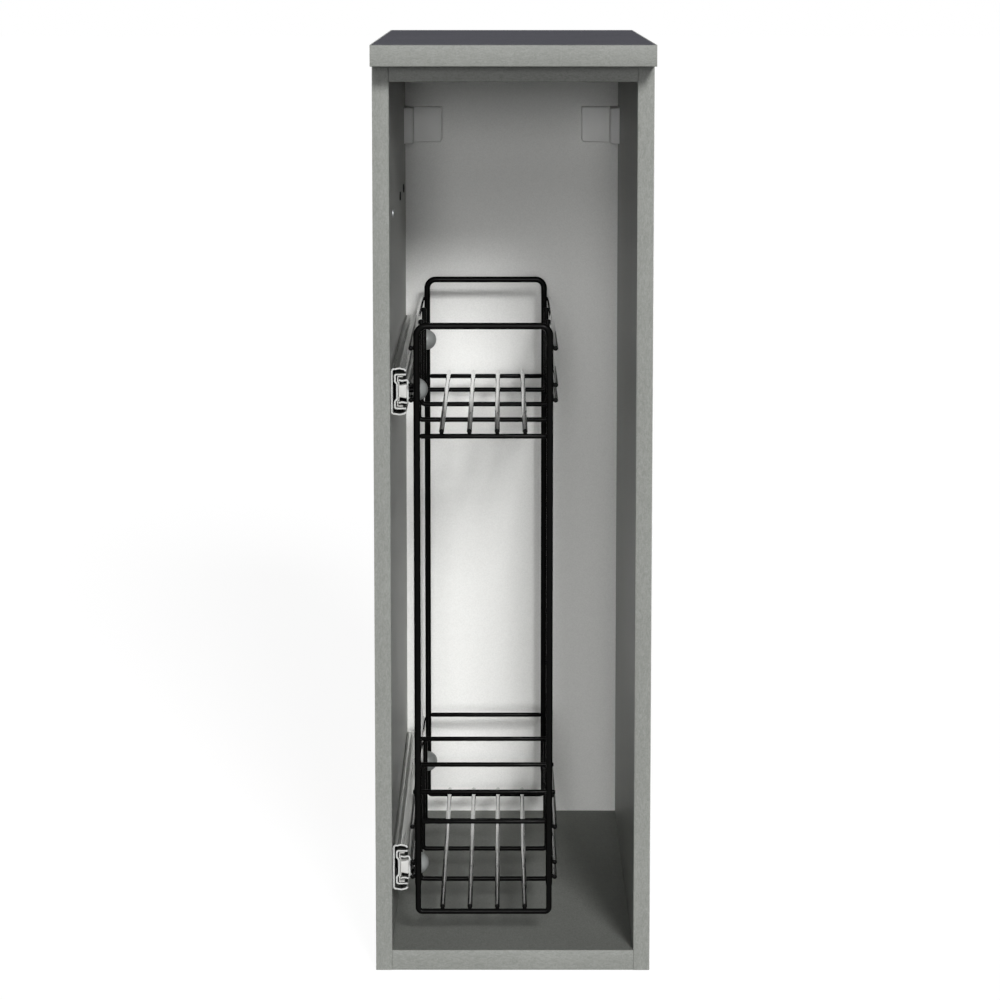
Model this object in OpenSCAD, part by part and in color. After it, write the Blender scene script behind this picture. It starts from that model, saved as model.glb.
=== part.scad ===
// Narrow spice cabinet: an open laminated carcass with a pull-out wire rack on ball runners.
// Units are millimetres. Z is up, the open front faces -Y, and X is across the cabinet.
// The origin is the middle of the bottom of the overall box, top panel included.

/* [Carcass] */
// Outside width of the cabinet
carcass_w = 200; // [190:1:300]
// Height of the carcass from its base to the underside of the top panel
carcass_h = 658; // [640:1:900]
// Depth of the side panels, front edge to rear edge
carcass_d = 460; // [455:1:520]
// Thickness of the side panels
side_t = 12; // [12:0.5:19]
// Thickness of the bottom panel
bottom_t = 15; // [14:0.5:19]
// Thickness of the two flat rails under the top
rail_t = 12; // [12:0.5:19]
// Depth of each flat rail, front to back
rail_d = 100; // [80:1:120]
// Thickness of the edge strip glued on each visible board edge
edge_t = 1; // [0.5:0.1:2]

/* [Top panel] */
// Thickness of the top panel
top_t = 15; // [13:0.5:19]
// How far the top panel stands out past the front of the carcass
top_overhang = 40; // [0:1:60]

/* [Back panel] */
// Thickness of the back panel
back_t = 3; // [2.5:0.1:5]
// Space between the back panel and the rear edge of the side panels
back_recess = 11; // [10:0.5:20]
// Depth of the groove that holds the back panel
groove_depth = 5; // [3:0.5:7]
// Play of the back panel in its groove
groove_play = 0.1; // [0.05:0.05:0.3]

/* [Joints of the carcass] */
// Diameter of a wooden dowel
dowel_dia = 6; // [5:0.5:7]
// Length of a wooden dowel
dowel_len = 28; // [24:1:32]
// How far a dowel or a cam bolt goes into a side panel
side_bite = 8; // [6:0.5:9]
// Diameter of a cam housing
cam_dia = 12; // [11:0.5:14]
// Distance from a panel's end to the centre of its cam
cam_inset = 24; // [22:1:30]
// Diameter of the cam bolt's shank
bolt_dia = 4; // [3.5:0.5:4.5]
// Diameter of the cam bolt's thread
bolt_thread_dia = 5; // [4.5:0.5:6]
// Play round a dowel, bolt, cam or screw in its hole
hole_play = 0.05; // [0.02:0.01:0.1]

/* [Screws] */
// Shank diameter of the chipboard screws
screw_dia = 3.5; // [3:0.5:4]
// Head diameter of the chipboard screws
screw_head_dia = 7.5; // [6:0.5:8]
// Head height of the chipboard screws
screw_head_h = 1.6; // [1.2:0.1:1.7]
// How far a chipboard screw goes into a side panel
screw_bite = 9.5; // [7:0.5:10]
// Length under the head of the screws that hold the top panel
top_screw_len = 18; // [16:1:20]

/* [Row of system holes] */
// Diameter of the holes in the left side panel
system_hole_dia = 5; // [4.5:0.5:6]
// Depth of those holes
system_hole_depth = 9; // [7:0.5:10]
// Distance from the underside of the top panel down to the row
system_row_drop = 110; // [98:1:138]
// Distance from the carcass front to the first hole
system_first = 80; // [60:1:100]
// Grid of the system holes
system_grid = 32; // [25:1:32]
// Wall of the sleeves that line the second and the third hole
sleeve_wall = 0.5; // [0.4:0.1:0.8]
// Height of a sleeve's collar, out from the side panel
sleeve_collar_h = 1; // [0.6:0.1:1.5]

/* [Wall hangers] */
// Height of the hanger cover
cover_h = 29; // [27:0.5:34]
// Distance from the underside of the top panel down to the cover
cover_drop = 47; // [34:1:54]
// Length of the cover's arm along the side panel
cover_arm = 42; // [40:1:60]
// Thickness of the cover's arm, out from the side panel
cover_arm_t = 7.6; // [7:0.2:10]
// Width of the cover's box along the back panel
cover_box_w = 30.5; // [29:0.5:40]
// Thickness of the cover's box, out from the back panel
cover_box_t = 12; // [10.5:0.5:16]
// Wall of the plastic cover
cover_wall = 1.2; // [0.8:0.1:1.4]
// Sheet thickness of the steel bracket
bracket_t = 2; // [1.5:0.1:2.2]
// Thickness of the hook
hook_t = 3; // [2:0.5:4]

/* [Runners] */
// Length of a runner
runner_len = 400; // [380:1:420]
// Height of a runner
runner_h = 35; // [33:0.5:37]
// Width of a closed runner, out from the side panel
runner_w = 12.7; // [12.5:0.1:14]
// Thickness of the runner's steel sheet
sheet_t = 1.2; // [1:0.1:1.3]
// Diameter of the bearing balls
ball_dia = 3.2; // [3:0.1:3.4]
// Number of balls in one row
balls_per_row = 10; // [4:1:10]
// Distance between the balls of a row
ball_pitch = 19; // [8:1:19]
// Thickness of a ball cage
cage_t = 0.4; // [0.3:0.05:0.45]
// Distance from the carcass front to the front end of the runners
runner_setback = 24; // [10:1:30]
// Height of the lower runner's middle above the base
lower_runner_z = 71.2; // [65:0.2:90]
// Distance between the two runners
tier_pitch = 352; // [320:1:360]

/* [Wire rack] */
// Diameter of the frame wire
frame_wire = 4.8; // [4.7:0.1:5.5]
// Diameter of the frame's thinner foot, below the side rails
foot_wire = 4.1; // [3.7:0.1:4.6]
// Diameter of the thin wire
thin_wire = 3.6; // [3:0.1:4.2]
// Width of the rack between the centres of the frame's uprights
rack_w = 96; // [80:1:100]
// Height of the rack between the centres of the frame's top and bottom wires
rack_h = 432; // [400:1:440]
// Radius of the frame's top corners at the middle of the wire
frame_bend = 7; // [5:0.5:14]
// Radius of the frame's bottom corners at the middle of the wire
foot_bend = 3; // [2.5:0.5:7]
// Radius of a cross wire's corners at the middle of the wire
wire_bend = 3; // [2.5:0.5:8]
// Distance between neighbouring cross wires
station_pitch = 96; // [80:1:98]
// Distance from the carcass front to the middle of the front frame
rack_setback = 20; // [12:1:30]
// Height of the frame's bottom wire above the base
rack_z = 39; // [36:1:44]
// Height of the two clamped side rails above and below the runner's middle
rail_offset = 5.5; // [4.5:0.1:8]
// Height of a tier's top rail above the runner's middle
top_rail_rise = 32; // [26:1:40]
// Depth that one welded wire sinks into another
weld = 0.1; // [0.05:0.05:0.3]
// Distance between the floor wires of a tier
floor_pitch = 20.1; // [15:0.1:22]

/* [Rack clamps] */
// Diameter of a clamp's dome
dome_dia = 16.5; // [15:0.5:19]
// Height of a clamp's dome
dome_h = 10; // [8:0.5:11]
// Distance from a frame's middle to the middle of the clamp
clamp_inset = 18; // [17:0.5:30]
// Diameter of the clamp's screw
clamp_screw_dia = 4; // [3:0.5:5]
// Head diameter of the clamp's screw
clamp_head_dia = 7; // [6:0.5:8]
// Head height of the clamp's screw
clamp_head_h = 2.2; // [1.8:0.1:3]

/* [Hidden] */

// Smoothness of round things
$fn = 48;
// Extra length of a cutting shape past the face that it opens
cut = 1;

// Carcass, worked out
inner_w = carcass_w - 2 * side_t;
half_inner = inner_w / 2;
half_w = carcass_w / 2;
rear_y = (carcass_d + top_overhang) / 2;
front_y = rear_y - carcass_d;
top_front_y = front_y - top_overhang;
back_rear_y = rear_y - back_recess;
back_front_y = back_rear_y - back_t;
rail_z = carcass_h - rail_t;
wall_x = -half_inner;

// Added to a diameter where a screw or bolt passes through loosely
loose = 0.4;
// How far a shank is carried into its own head
rooted = 0.5;

// Places of the dowels and cams along Y
dowel_margin = 30;
cam_step = 30;
bottom_dowels = [front_y + dowel_margin, rear_y - dowel_margin - back_recess - back_t];
bottom_cams = [bottom_dowels[0] + cam_step, bottom_dowels[1] - cam_step];
rail_dowel_margin = 20;
front_rail_mid = front_y + rail_d / 2;
rear_rail_mid = back_front_y - rail_d / 2;
rail_mids = [front_rail_mid, rear_rail_mid];
rail_dowel_step = rail_d / 2 - rail_dowel_margin;
cam_floor_bottom = 3;
cam_floor_rail = 2.5;
cam_h_bottom = bottom_t - cam_floor_bottom;
cam_h_rail = rail_t - cam_floor_rail;
cam_sunk = 0.3;
bolt_head_dia = 5.2;
bolt_head_len = 3;
cam_slot_dia = bolt_head_dia + loose;

// Screws that hold the top panel
top_screw_dia = 4;
top_screw_head_dia = 8;
top_screw_head_h = 2.5;
top_screw_sink = 3;
top_screw_inset = 48;
top_screw_x = half_inner - top_screw_inset;
top_screw_seat_z = rail_z + top_screw_sink;
pilot_extra = 1;

// System holes, worked out
system_row_z = carcass_h - system_row_drop;
plug_step = 0;
sleeve_steps = [6, 9];
sleeve_dia = system_hole_dia + 2 * sleeve_wall;
sleeve_collar = 0.5;
plug_head_dia = system_hole_dia + 1.4;
plug_head_h = 1.2;
plug_end_room = 1.5;
plug_len = system_hole_depth - plug_end_room;

// Wall hangers, worked out. Lengths a run from the side panel, lengths b forward from the back panel
cover_z = carcass_h - cover_drop - cover_h;
cover_room = 1.3;
bracket_h = cover_h - 2 * (cover_wall + cover_room);
bracket_z = cover_z + (cover_h - bracket_h) / 2;
arm_room = 2.8;
bracket_arm = cover_arm - cover_wall - arm_room;
flange_room = 2.3;
bracket_flange = cover_box_w - cover_wall - flange_room;
hanger_mid_z = cover_z + cover_h / 2;
hook_a = 16;
hook_plate_w = 18;
hook_plate_step = 3;
hook_plate_h = bracket_h - 2 * hook_plate_step;
hook_plate_t = 2;
hook_arm_h = 8;
hook_end_room = 2;
hook_reach = back_t + back_recess - hook_end_room;
hook_root = 3;
hook_lip_t = 3;
hook_lip_h = 16;
hook_slot_room = 3;
hook_slot_w = hook_t + hook_slot_room;
hook_slot_h = hook_arm_h + 2 * hook_slot_room;
hook_screw_a = 10.5;
hook_screw_dia = 4;
hook_screw_head_dia = 6.4;
hook_screw_head_h = 2.4;
hanger_screw_margin = 8;
hanger_screw_step = 15;
hanger_screw_bs = [bracket_arm - hanger_screw_margin - hanger_screw_step,
    bracket_arm - hanger_screw_margin];
cover_round = 3;

// Runners, worked out. Lengths u run out from the side panel, lengths v up from the runner's middle
runner_front = front_y + runner_setback;
stop_len = 4;
member_gap = 0.3;
moving_len = runner_len - stop_len;
upper_runner_z = lower_runner_z + tier_pitch;
race_rise = 0.6;
race_half = 2.5;
arc_steps = 4;
lip_step = 0.3;
lip_r = 2.4;
lip_end_angle = 10;
outer_bend = 2.2;
middle_bend = 1.8;
middle_flange = 4.9;
inner_rise = 0.5;
inner_bend = 1.6;
race_slope = atan2(race_rise, race_half);
ball_play = 0.06;
ball_reach = ball_dia / 2 + ball_play;
outer_ball_u = 5.9;
outer_ball_v = runner_h / 2 - (sheet_t + ball_reach) / cos(race_slope);
middle_top = outer_ball_v - ball_reach;
inner_ball_u = 8.2;
inner_ball_v = middle_top - sheet_t - ball_reach;
inner_dip = inner_ball_v - ball_reach / cos(race_slope);
member_space = 1;
middle_near_u = sheet_t + member_space;
middle_bulge = 1.6;
middle_far_u = middle_near_u + middle_bulge;
pocket_play = 0.2;
cage_gap = (middle_near_u - sheet_t - cage_t) / 2;
web_far_v = 5.2;
web_near_v = 7.2;
cage_flange = 2.8;
web_slope = atan((middle_far_u - middle_near_u) / (web_near_v - web_far_v));
cage_shift = (sheet_t + cage_gap) * tan(web_slope / 2);
cage_row = (balls_per_row - 1) * ball_pitch;
cage_end = 6;
cage_len = cage_row + 2 * cage_end;
cage_front = runner_front + runner_len / 4;
ball_ys = [for (i = [0:balls_per_row - 1]) cage_front + cage_end + i * ball_pitch];
pocket_dia = ball_dia + pocket_play;
wall_screw_depths = [13, 237, 365];
access_dia = screw_head_dia + 2 * loose;
block_len = 9;
block_h = 10.4;
block_u = middle_far_u + sheet_t + member_gap;
stop_h = 20;
stop_w = 9;

// Rack, worked out
rail_x = wall_x + runner_w + thin_wire / 2;
left_upright_x = rail_x + thin_wire / 2 + frame_wire / 2 - weld;
rack_mid_x = left_upright_x + rack_w / 2;
rack_front_y = front_y + rack_setback;
stations = [for (i = [0:4]) rack_front_y + i * station_pitch];
rack_rear_y = stations[4];
rack_top_z = rack_z + rack_h;
cross_w = rack_w + frame_wire - thin_wire;
rail_half = cross_w / 2 + thin_wire - weld;
foot_step = 3;
foot_taper = 3;
foot_top_z = lower_runner_z - rail_offset - thin_wire / 2 - foot_step;
foot_low_z = foot_top_z - foot_taper;
lower_floor_z = rack_z + (foot_wire - thin_wire) / 2;
floor_z = [lower_floor_z, lower_floor_z + tier_pitch];
tier_z = [lower_runner_z, upper_runner_z];
floor_rows = [-1.5, -0.5, 0.5, 1.5];
wire_end = 1;
clamp_ys = [rack_front_y + clamp_inset, rack_rear_y - clamp_inset];
dome_base_x = rail_x + thin_wire / 2;
dome_skin = 1.3;
clamp_thread_play = 0.05;

// Names for the two tiers
LOWER = 0;
UPPER = 1;

// Colours as the object has them
laminate = [0.60, 0.61, 0.59];
white_board = [0.86, 0.86, 0.84];
beech = [0.80, 0.66, 0.46];
zinc = [0.74, 0.75, 0.73];
steel = [0.62, 0.63, 0.64];
grey_plastic = [0.80, 0.81, 0.80];
dark_plastic = [0.16, 0.16, 0.17];
clamp_grey = [0.50, 0.52, 0.51];
black_wire = [0.06, 0.06, 0.06];

// Points of a sheet with its outer face on the path and its thickness to the left of the way
function way(a, b) = (b - a) / norm(b - a);
function left_of(d) = [-d[1], d[0]];
function before(p, i) = way(p[max(i - 1, 0)], p[max(i, 1)]);
function after(p, i) = way(p[min(i, len(p) - 2)], p[min(i + 1, len(p) - 1)]);
function miter(p, i) = left_of(before(p, i)) + left_of(after(p, i));
function inset_point(p, i, t) = p[i] + miter(p, i) * 2 * t / (miter(p, i) * miter(p, i));
function sheet_outline(p, t) = concat(p, [for (i = [len(p) - 1:-1:0]) inset_point(p, i, t)]);
function flipped(p) = [for (i = [len(p) - 1:-1:0]) [p[i][0], -p[i][1]]];
function turned(p) = [for (i = [len(p) - 1:-1:0]) p[i]];

// A box given by its lowest and highest corners
module block(low, high) {
    translate(low) cube(high - low);
}

// A cylinder along X from x0 to x1
module rod_x(x0, x1, y, z, dia) {
    translate([x0, y, z]) rotate([0, 90, 0]) cylinder(h = x1 - x0, d = dia);
}

// A cylinder along Y from y0 to y1
module rod_y(x, y0, y1, z, dia) {
    translate([x, y1, z]) rotate([90, 0, 0]) cylinder(h = y1 - y0, d = dia);
}

// A cylinder along Z from z0 to z1
module rod_z(x, y, z0, z1, dia) {
    translate([x, y, z0]) cylinder(h = z1 - z0, d = dia);
}

// Everything that repeats on the left and on the right
module both_sides() {
    children();
    mirror([1, 0, 0]) children();
}

// Holes of the dowels and the cam bolts that join a cross panel to the left side panel
module left_joint_holes() {
    for (y = bottom_dowels) dowel_hole(y, bottom_t / 2);
    for (y = bottom_cams) bolt_side_hole(y, bottom_t / 2);
    for (y = rail_mids) {
        bolt_side_hole(y, rail_z + rail_t / 2);
        for (s = [-1, 1]) dowel_hole(y + s * rail_dowel_step, rail_z + rail_t / 2);
    }
}

module dowel_hole(y, z) {
    rod_x(wall_x - side_bite - hole_play, wall_x + dowel_len - side_bite + pilot_extra, y, z,
        dowel_dia + 2 * hole_play);
}

module bolt_side_hole(y, z) {
    rod_x(wall_x - side_bite - hole_play, wall_x + cut, y, z, bolt_thread_dia + 2 * hole_play);
}

// Cuts that a cross panel needs at its left end: dowel holes, bolt holes and cam pockets
module left_panel_cuts(dowels, cams, mid_z, cam_low, cam_high) {
    for (y = dowels) dowel_hole(y, mid_z);
    for (y = cams) {
        rod_x(wall_x - cut, wall_x + cam_inset, y, mid_z, bolt_thread_dia + loose);
        rod_z(wall_x + cam_inset, y, cam_low, cam_high, cam_dia + 2 * hole_play);
    }
}

module side_board() {
    difference() {
        block([-half_w, front_y + edge_t, 0], [wall_x, rear_y, carcass_h]);
        block([wall_x - groove_depth, back_front_y - groove_play, bottom_t - groove_depth],
            [wall_x + cut, back_rear_y + groove_play, carcass_h + cut]);
        left_joint_holes();
        hanger_pilot_holes();
    }
}

module hanger_pilot_holes() {
    for (b = hanger_screw_bs)
        rod_x(wall_x - screw_bite - hole_play, wall_x + cut, back_front_y - b, hanger_mid_z,
            screw_dia + 2 * hole_play);
}

module left_side_panel() {
    color(laminate)
        difference() {
            side_board();
            system_holes();
            for (z = tier_z)
                for (d = wall_screw_depths)
                    rod_x(wall_x - screw_bite - hole_play, wall_x + cut, runner_front + d, z,
                        screw_dia + 2 * hole_play);
        }
}

function system_y(step) = front_y + system_first + step * system_grid;

module system_holes() {
    rod_x(wall_x - system_hole_depth, wall_x + cut, system_y(plug_step), system_row_z,
        system_hole_dia);
    for (step = sleeve_steps)
        rod_x(wall_x - system_hole_depth - hole_play, wall_x + cut, system_y(step), system_row_z,
            sleeve_dia + 2 * hole_play);
}

module right_side_panel() {
    color(laminate) mirror([1, 0, 0]) side_board();
}

module bottom_panel() {
    color(laminate)
        difference() {
            block([-half_inner, front_y + edge_t, 0], [half_inner, rear_y, bottom_t]);
            block([-half_inner - cut, back_front_y - groove_play, bottom_t - groove_depth],
                [half_inner + cut, back_rear_y + groove_play, bottom_t + cut]);
            both_sides()
                left_panel_cuts(bottom_dowels, bottom_cams, bottom_t / 2, -cut, cam_h_bottom);
        }
}

module rail_board(y0, y1, mid) {
    difference() {
        block([-half_inner, y0, rail_z], [half_inner, y1, carcass_h]);
        both_sides()
            left_panel_cuts([mid - rail_dowel_step, mid + rail_dowel_step], [mid],
                rail_z + rail_t / 2, carcass_h - cam_h_rail, carcass_h + cut);
        for (s = [-1, 1]) {
            rod_z(s * top_screw_x, mid, rail_z - cut, carcass_h + cut, top_screw_dia + loose);
            rod_z(s * top_screw_x, mid, rail_z - cut, top_screw_seat_z,
                top_screw_head_dia + loose);
        }
    }
}

module front_rail() {
    color(laminate) rail_board(front_y + edge_t, front_y + rail_d, front_rail_mid);
}

module rear_rail() {
    color(laminate) rail_board(back_front_y - rail_d, back_front_y, rear_rail_mid);
}

module top_panel() {
    color(laminate)
        difference() {
            block([-half_w + edge_t, top_front_y + edge_t, carcass_h],
                [half_w - edge_t, rear_y, carcass_h + top_t]);
            for (s = [-1, 1])
                for (y = rail_mids)
                    rod_z(s * top_screw_x, y, carcass_h - cut,
                        top_screw_seat_z + top_screw_len + hole_play,
                        top_screw_dia + 2 * hole_play);
        }
}

module back_panel() {
    slot_mid = half_inner - hook_a;
    color(white_board)
        difference() {
            block([-half_inner - groove_depth + groove_play, back_front_y,
                    bottom_t - groove_depth + groove_play],
                [half_inner + groove_depth - groove_play, back_rear_y, carcass_h]);
            for (s = [-1, 1])
                block([s * slot_mid - hook_slot_w, back_front_y - cut, hanger_mid_z - hook_slot_h],
                    [s * slot_mid + hook_slot_w, back_rear_y + cut, hanger_mid_z + hook_slot_h / 2]);
        }
}

module side_edge_strip() {
    block([-half_w, front_y, 0], [wall_x, front_y + edge_t, carcass_h]);
}

module left_edge_strip() {
    color(laminate) side_edge_strip();
}

module right_edge_strip() {
    color(laminate) mirror([1, 0, 0]) side_edge_strip();
}

module bottom_edge_strip() {
    color(laminate) block([-half_inner, front_y, 0], [half_inner, front_y + edge_t, bottom_t]);
}

module front_rail_edge_strip() {
    color(laminate)
        block([-half_inner, front_y, rail_z], [half_inner, front_y + edge_t, carcass_h]);
}

module top_front_edge_strip() {
    color(laminate)
        block([-half_w, top_front_y, carcass_h], [half_w, top_front_y + edge_t, carcass_h + top_t]);
}

module top_side_edge_strips() {
    color(laminate)
        both_sides()
            block([-half_w, top_front_y + edge_t, carcass_h],
                [-half_w + edge_t, rear_y, carcass_h + top_t]);
}

module left_dowel(y, z) {
    rod_x(wall_x - side_bite, wall_x + dowel_len - side_bite, y, z, dowel_dia);
}

module wood_dowels() {
    color(beech)
        both_sides() {
            for (y = bottom_dowels) left_dowel(y, bottom_t / 2);
            for (y = rail_mids)
                for (s = [-1, 1]) left_dowel(y + s * rail_dowel_step, rail_z + rail_t / 2);
        }
}

module left_bolt(y, z) {
    rod_x(wall_x - side_bite, wall_x, y, z, bolt_thread_dia);
    rod_x(wall_x - rooted, wall_x + cam_inset, y, z, bolt_dia);
    rod_x(wall_x + cam_inset - bolt_head_len / 2, wall_x + cam_inset + bolt_head_len / 2, y, z,
        bolt_head_dia);
}

module cam_bolts() {
    color(steel)
        both_sides() {
            for (y = bottom_cams) left_bolt(y, bottom_t / 2);
            for (y = rail_mids) left_bolt(y, rail_z + rail_t / 2);
        }
}

module left_cam(y, mid_z, low, high) {
    cam_x = wall_x + cam_inset;
    difference() {
        rod_z(cam_x, y, low, high, cam_dia);
        rod_x(cam_x - cam_dia, cam_x + bolt_head_len, y, mid_z, cam_slot_dia);
    }
}

module cam_housings() {
    color(zinc)
        both_sides() {
            for (y = bottom_cams) left_cam(y, bottom_t / 2, cam_sunk, cam_h_bottom);
            for (y = rail_mids)
                left_cam(y, rail_z + rail_t / 2, carcass_h - cam_h_rail,
                    carcass_h - cam_sunk);
        }
}

module top_fixing_screws() {
    color(zinc)
        for (s = [-1, 1])
            for (y = rail_mids) {
                rod_z(s * top_screw_x, y, top_screw_seat_z - top_screw_head_h, top_screw_seat_z,
                    top_screw_head_dia);
                rod_z(s * top_screw_x, y, top_screw_seat_z - rooted,
                    top_screw_seat_z + top_screw_len, top_screw_dia);
            }
}

module hole_plug() {
    y = system_y(plug_step);
    color(zinc) {
        rod_x(wall_x - plug_len, wall_x + rooted, y, system_row_z, system_hole_dia - 2 * hole_play);
        rod_x(wall_x, wall_x + plug_head_h, y, system_row_z, plug_head_dia);
    }
}

// Sleeves with a collar, which keep the holes from wearing. A shelf pin goes into them
module hole_sleeves() {
    color(dark_plastic)
        for (step = sleeve_steps)
            difference() {
                union() {
                    rod_x(wall_x - system_hole_depth, wall_x + rooted, system_y(step), system_row_z,
                        sleeve_dia);
                    rod_x(wall_x, wall_x + sleeve_collar_h, system_y(step), system_row_z,
                        sleeve_dia + 2 * sleeve_collar);
                }
                rod_x(wall_x - system_hole_depth - cut, wall_x + sleeve_collar_h + cut,
                    system_y(step), system_row_z, system_hole_dia);
            }
}

// A box in hanger terms: a from the left side panel, b forward from the back panel
module hanger_block(a0, a1, b0, b1, z0, z1) {
    block([wall_x + a0, back_front_y - b1, z0], [wall_x + a1, back_front_y - b0, z1]);
}

module hanger_bracket() {
    difference() {
        union() {
            hanger_block(0, bracket_t, 0, bracket_arm, bracket_z, bracket_z + bracket_h);
            hanger_block(0, bracket_flange, 0, bracket_t, bracket_z, bracket_z + bracket_h);
        }
        hanger_block(hook_a - hook_slot_w / 2, hook_a + hook_slot_w / 2, -cut, bracket_t + cut,
            hanger_mid_z - hook_slot_h / 2, hanger_mid_z + hook_slot_h / 2);
        for (b = hanger_screw_bs)
            rod_x(wall_x - cut, wall_x + bracket_t + cut, back_front_y - b, hanger_mid_z,
                screw_dia + loose);
        rod_y(wall_x + hook_screw_a, back_front_y - bracket_t - cut, back_front_y + cut,
            hanger_mid_z, hook_screw_dia + 2 * hole_play);
    }
}

module left_hanger_bracket() {
    color(steel) hanger_bracket();
}

module right_hanger_bracket() {
    color(steel) mirror([1, 0, 0]) hanger_bracket();
}

module hanger_hook() {
    plate_b = bracket_t + hook_plate_t;
    a0 = hook_a - hook_t / 2;
    a1 = hook_a + hook_t / 2;
    arm_z0 = hanger_mid_z - hook_arm_h / 2;
    arm_z1 = hanger_mid_z + hook_arm_h / 2;
    difference() {
        union() {
            hanger_block(hook_a - hook_plate_w / 2, hook_a + hook_plate_w / 2, bracket_t, plate_b,
                hanger_mid_z - hook_plate_h / 2, hanger_mid_z + hook_plate_h / 2);
            hanger_block(a0, a1, -hook_reach, plate_b + hook_root, arm_z0, arm_z1);
            hanger_block(a0, a1, -hook_reach, hook_lip_t - hook_reach, arm_z1 - hook_lip_h, arm_z1);
        }
        rod_y(wall_x + hook_screw_a, back_front_y - plate_b - cut, back_front_y, hanger_mid_z,
            hook_screw_dia + 2 * hole_play);
    }
}

module left_hanger_hook() {
    color(zinc) hanger_hook();
}

module right_hanger_hook() {
    color(zinc) mirror([1, 0, 0]) hanger_hook();
}

// The box of the cover with its inner lower corner rounded
module cover_box(w, t, z0, z1, r) {
    translate([wall_x, back_front_y, 0])
        rotate([90, 0, 0])
            linear_extrude(t)
                difference() {
                    translate([0, z0]) square([w, z1 - z0]);
                    translate([w - r, z0])
                        difference() {
                            square(r);
                            translate([0, r]) circle(r);
                        }
                }
}

module hanger_cover() {
    z1 = cover_z + cover_h;
    difference() {
        union() {
            hanger_block(0, cover_arm_t, 0, cover_arm, cover_z, z1);
            cover_box(cover_box_w, cover_box_t, cover_z, z1, cover_round);
        }
        hanger_block(-cut, cover_arm_t - cover_wall, -cut, cover_arm - cover_wall,
            cover_z + cover_wall, z1 - cover_wall);
        translate([0, cut, 0])
            cover_box(cover_box_w - cover_wall, cover_box_t - cover_wall + cut,
                cover_z + cover_wall, z1 - cover_wall, cover_round - cover_wall);
    }
}

module left_hanger_cover() {
    color(grey_plastic) hanger_cover();
}

module right_hanger_cover() {
    color(grey_plastic) mirror([1, 0, 0]) hanger_cover();
}

module hanger_screws() {
    color(zinc)
        both_sides()
            for (b = hanger_screw_bs) {
                y = back_front_y - b;
                head_x = wall_x + bracket_t;
                rod_x(wall_x - screw_bite, head_x + rooted, y, hanger_mid_z, screw_dia);
                rod_x(head_x, head_x + screw_head_h, y, hanger_mid_z, screw_head_dia);
            }
}

module hook_screws() {
    head_b = bracket_t + hook_plate_t;
    color(steel)
        both_sides() {
            rod_y(wall_x + hook_screw_a, back_front_y - head_b - rooted, back_front_y, hanger_mid_z,
                hook_screw_dia);
            rod_y(wall_x + hook_screw_a, back_front_y - head_b - hook_screw_head_h,
                back_front_y - head_b, hanger_mid_z, hook_screw_head_dia);
        }
}

// A profile in u and v, run back from the front end of the runner
module runner_bar(z, y0, len) {
    translate([wall_x, y0 + len, z]) rotate([90, 0, 0]) linear_extrude(len) children();
}

// Points of an arc, its angles in degrees
function arc(c, r, a0, a1) =
    [for (i = [0:arc_steps]) c + r * [cos(a0 + (a1 - a0) * i / arc_steps),
        sin(a0 + (a1 - a0) * i / arc_steps)]];

// The ridge or groove in which a row of balls runs, from its far side to its near side
function race(u, peak, rise) = [[u + race_half, peak - rise], [u, peak], [u - race_half, peak - rise]];

module outer_profile() {
    shoulder = runner_h / 2 - race_rise;
    lip = arc([outer_ball_u + race_half + lip_step, shoulder - lip_r], lip_r, lip_end_angle, 90);
    corner = arc([outer_bend, shoulder - outer_bend], outer_bend, 90, 180);
    upper = concat(lip, race(outer_ball_u, runner_h / 2, race_rise), corner);
    polygon(sheet_outline(concat(upper, flipped(upper)), sheet_t));
}

module middle_profile() {
    corner = arc([middle_near_u + middle_bend, middle_top - middle_bend], middle_bend, 90, 180);
    upper = concat([[outer_ball_u + middle_flange, middle_top]], corner,
        [[middle_near_u, web_near_v], [middle_far_u, web_far_v]]);
    polygon(sheet_outline(concat(upper, flipped(upper)), sheet_t));
}

module inner_profile() {
    shoulder = inner_dip + inner_rise;
    groove = race(inner_ball_u, inner_dip, -inner_rise);
    corner = arc([runner_w - inner_bend, shoulder - inner_bend], inner_bend, 90, 0);
    upper = concat([groove[2], groove[1], groove[0]], corner);
    polygon(sheet_outline(turned(concat(upper, flipped(upper))), sheet_t));
}

module outer_member(z) {
    difference() {
        runner_bar(z, runner_front, runner_len) outer_profile();
        for (d = wall_screw_depths)
            rod_x(wall_x - cut, wall_x + sheet_t + rooted, runner_front + d, z, screw_dia + loose);
    }
}

module upper_outer_member() {
    color(zinc) outer_member(upper_runner_z);
}

module lower_outer_member() {
    color(zinc) outer_member(lower_runner_z);
}

module middle_member(z) {
    difference() {
        runner_bar(z, runner_front, moving_len) middle_profile();
        for (d = wall_screw_depths)
            rod_x(wall_x + sheet_t, wall_x + middle_far_u + sheet_t + cut, runner_front + d, z,
                access_dia);
    }
}

module upper_middle_member() {
    color(zinc) middle_member(upper_runner_z);
}

module lower_middle_member() {
    color(zinc) middle_member(lower_runner_z);
}

module inner_member(z) {
    difference() {
        runner_bar(z, runner_front, moving_len) inner_profile();
        for (y = clamp_ys)
            rod_x(wall_x + runner_w - sheet_t - cut, wall_x + runner_w + cut, y, z,
                clamp_screw_dia + loose);
    }
}

module upper_inner_member() {
    color(zinc) inner_member(upper_runner_z);
}

module lower_inner_member() {
    color(zinc) inner_member(lower_runner_z);
}

module ball_rows(z, u, v, dia) {
    for (s = [-1, 1])
        for (y = ball_ys) translate([wall_x + u, y, z + s * v]) sphere(d = dia, $fn = 24);
}

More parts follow.
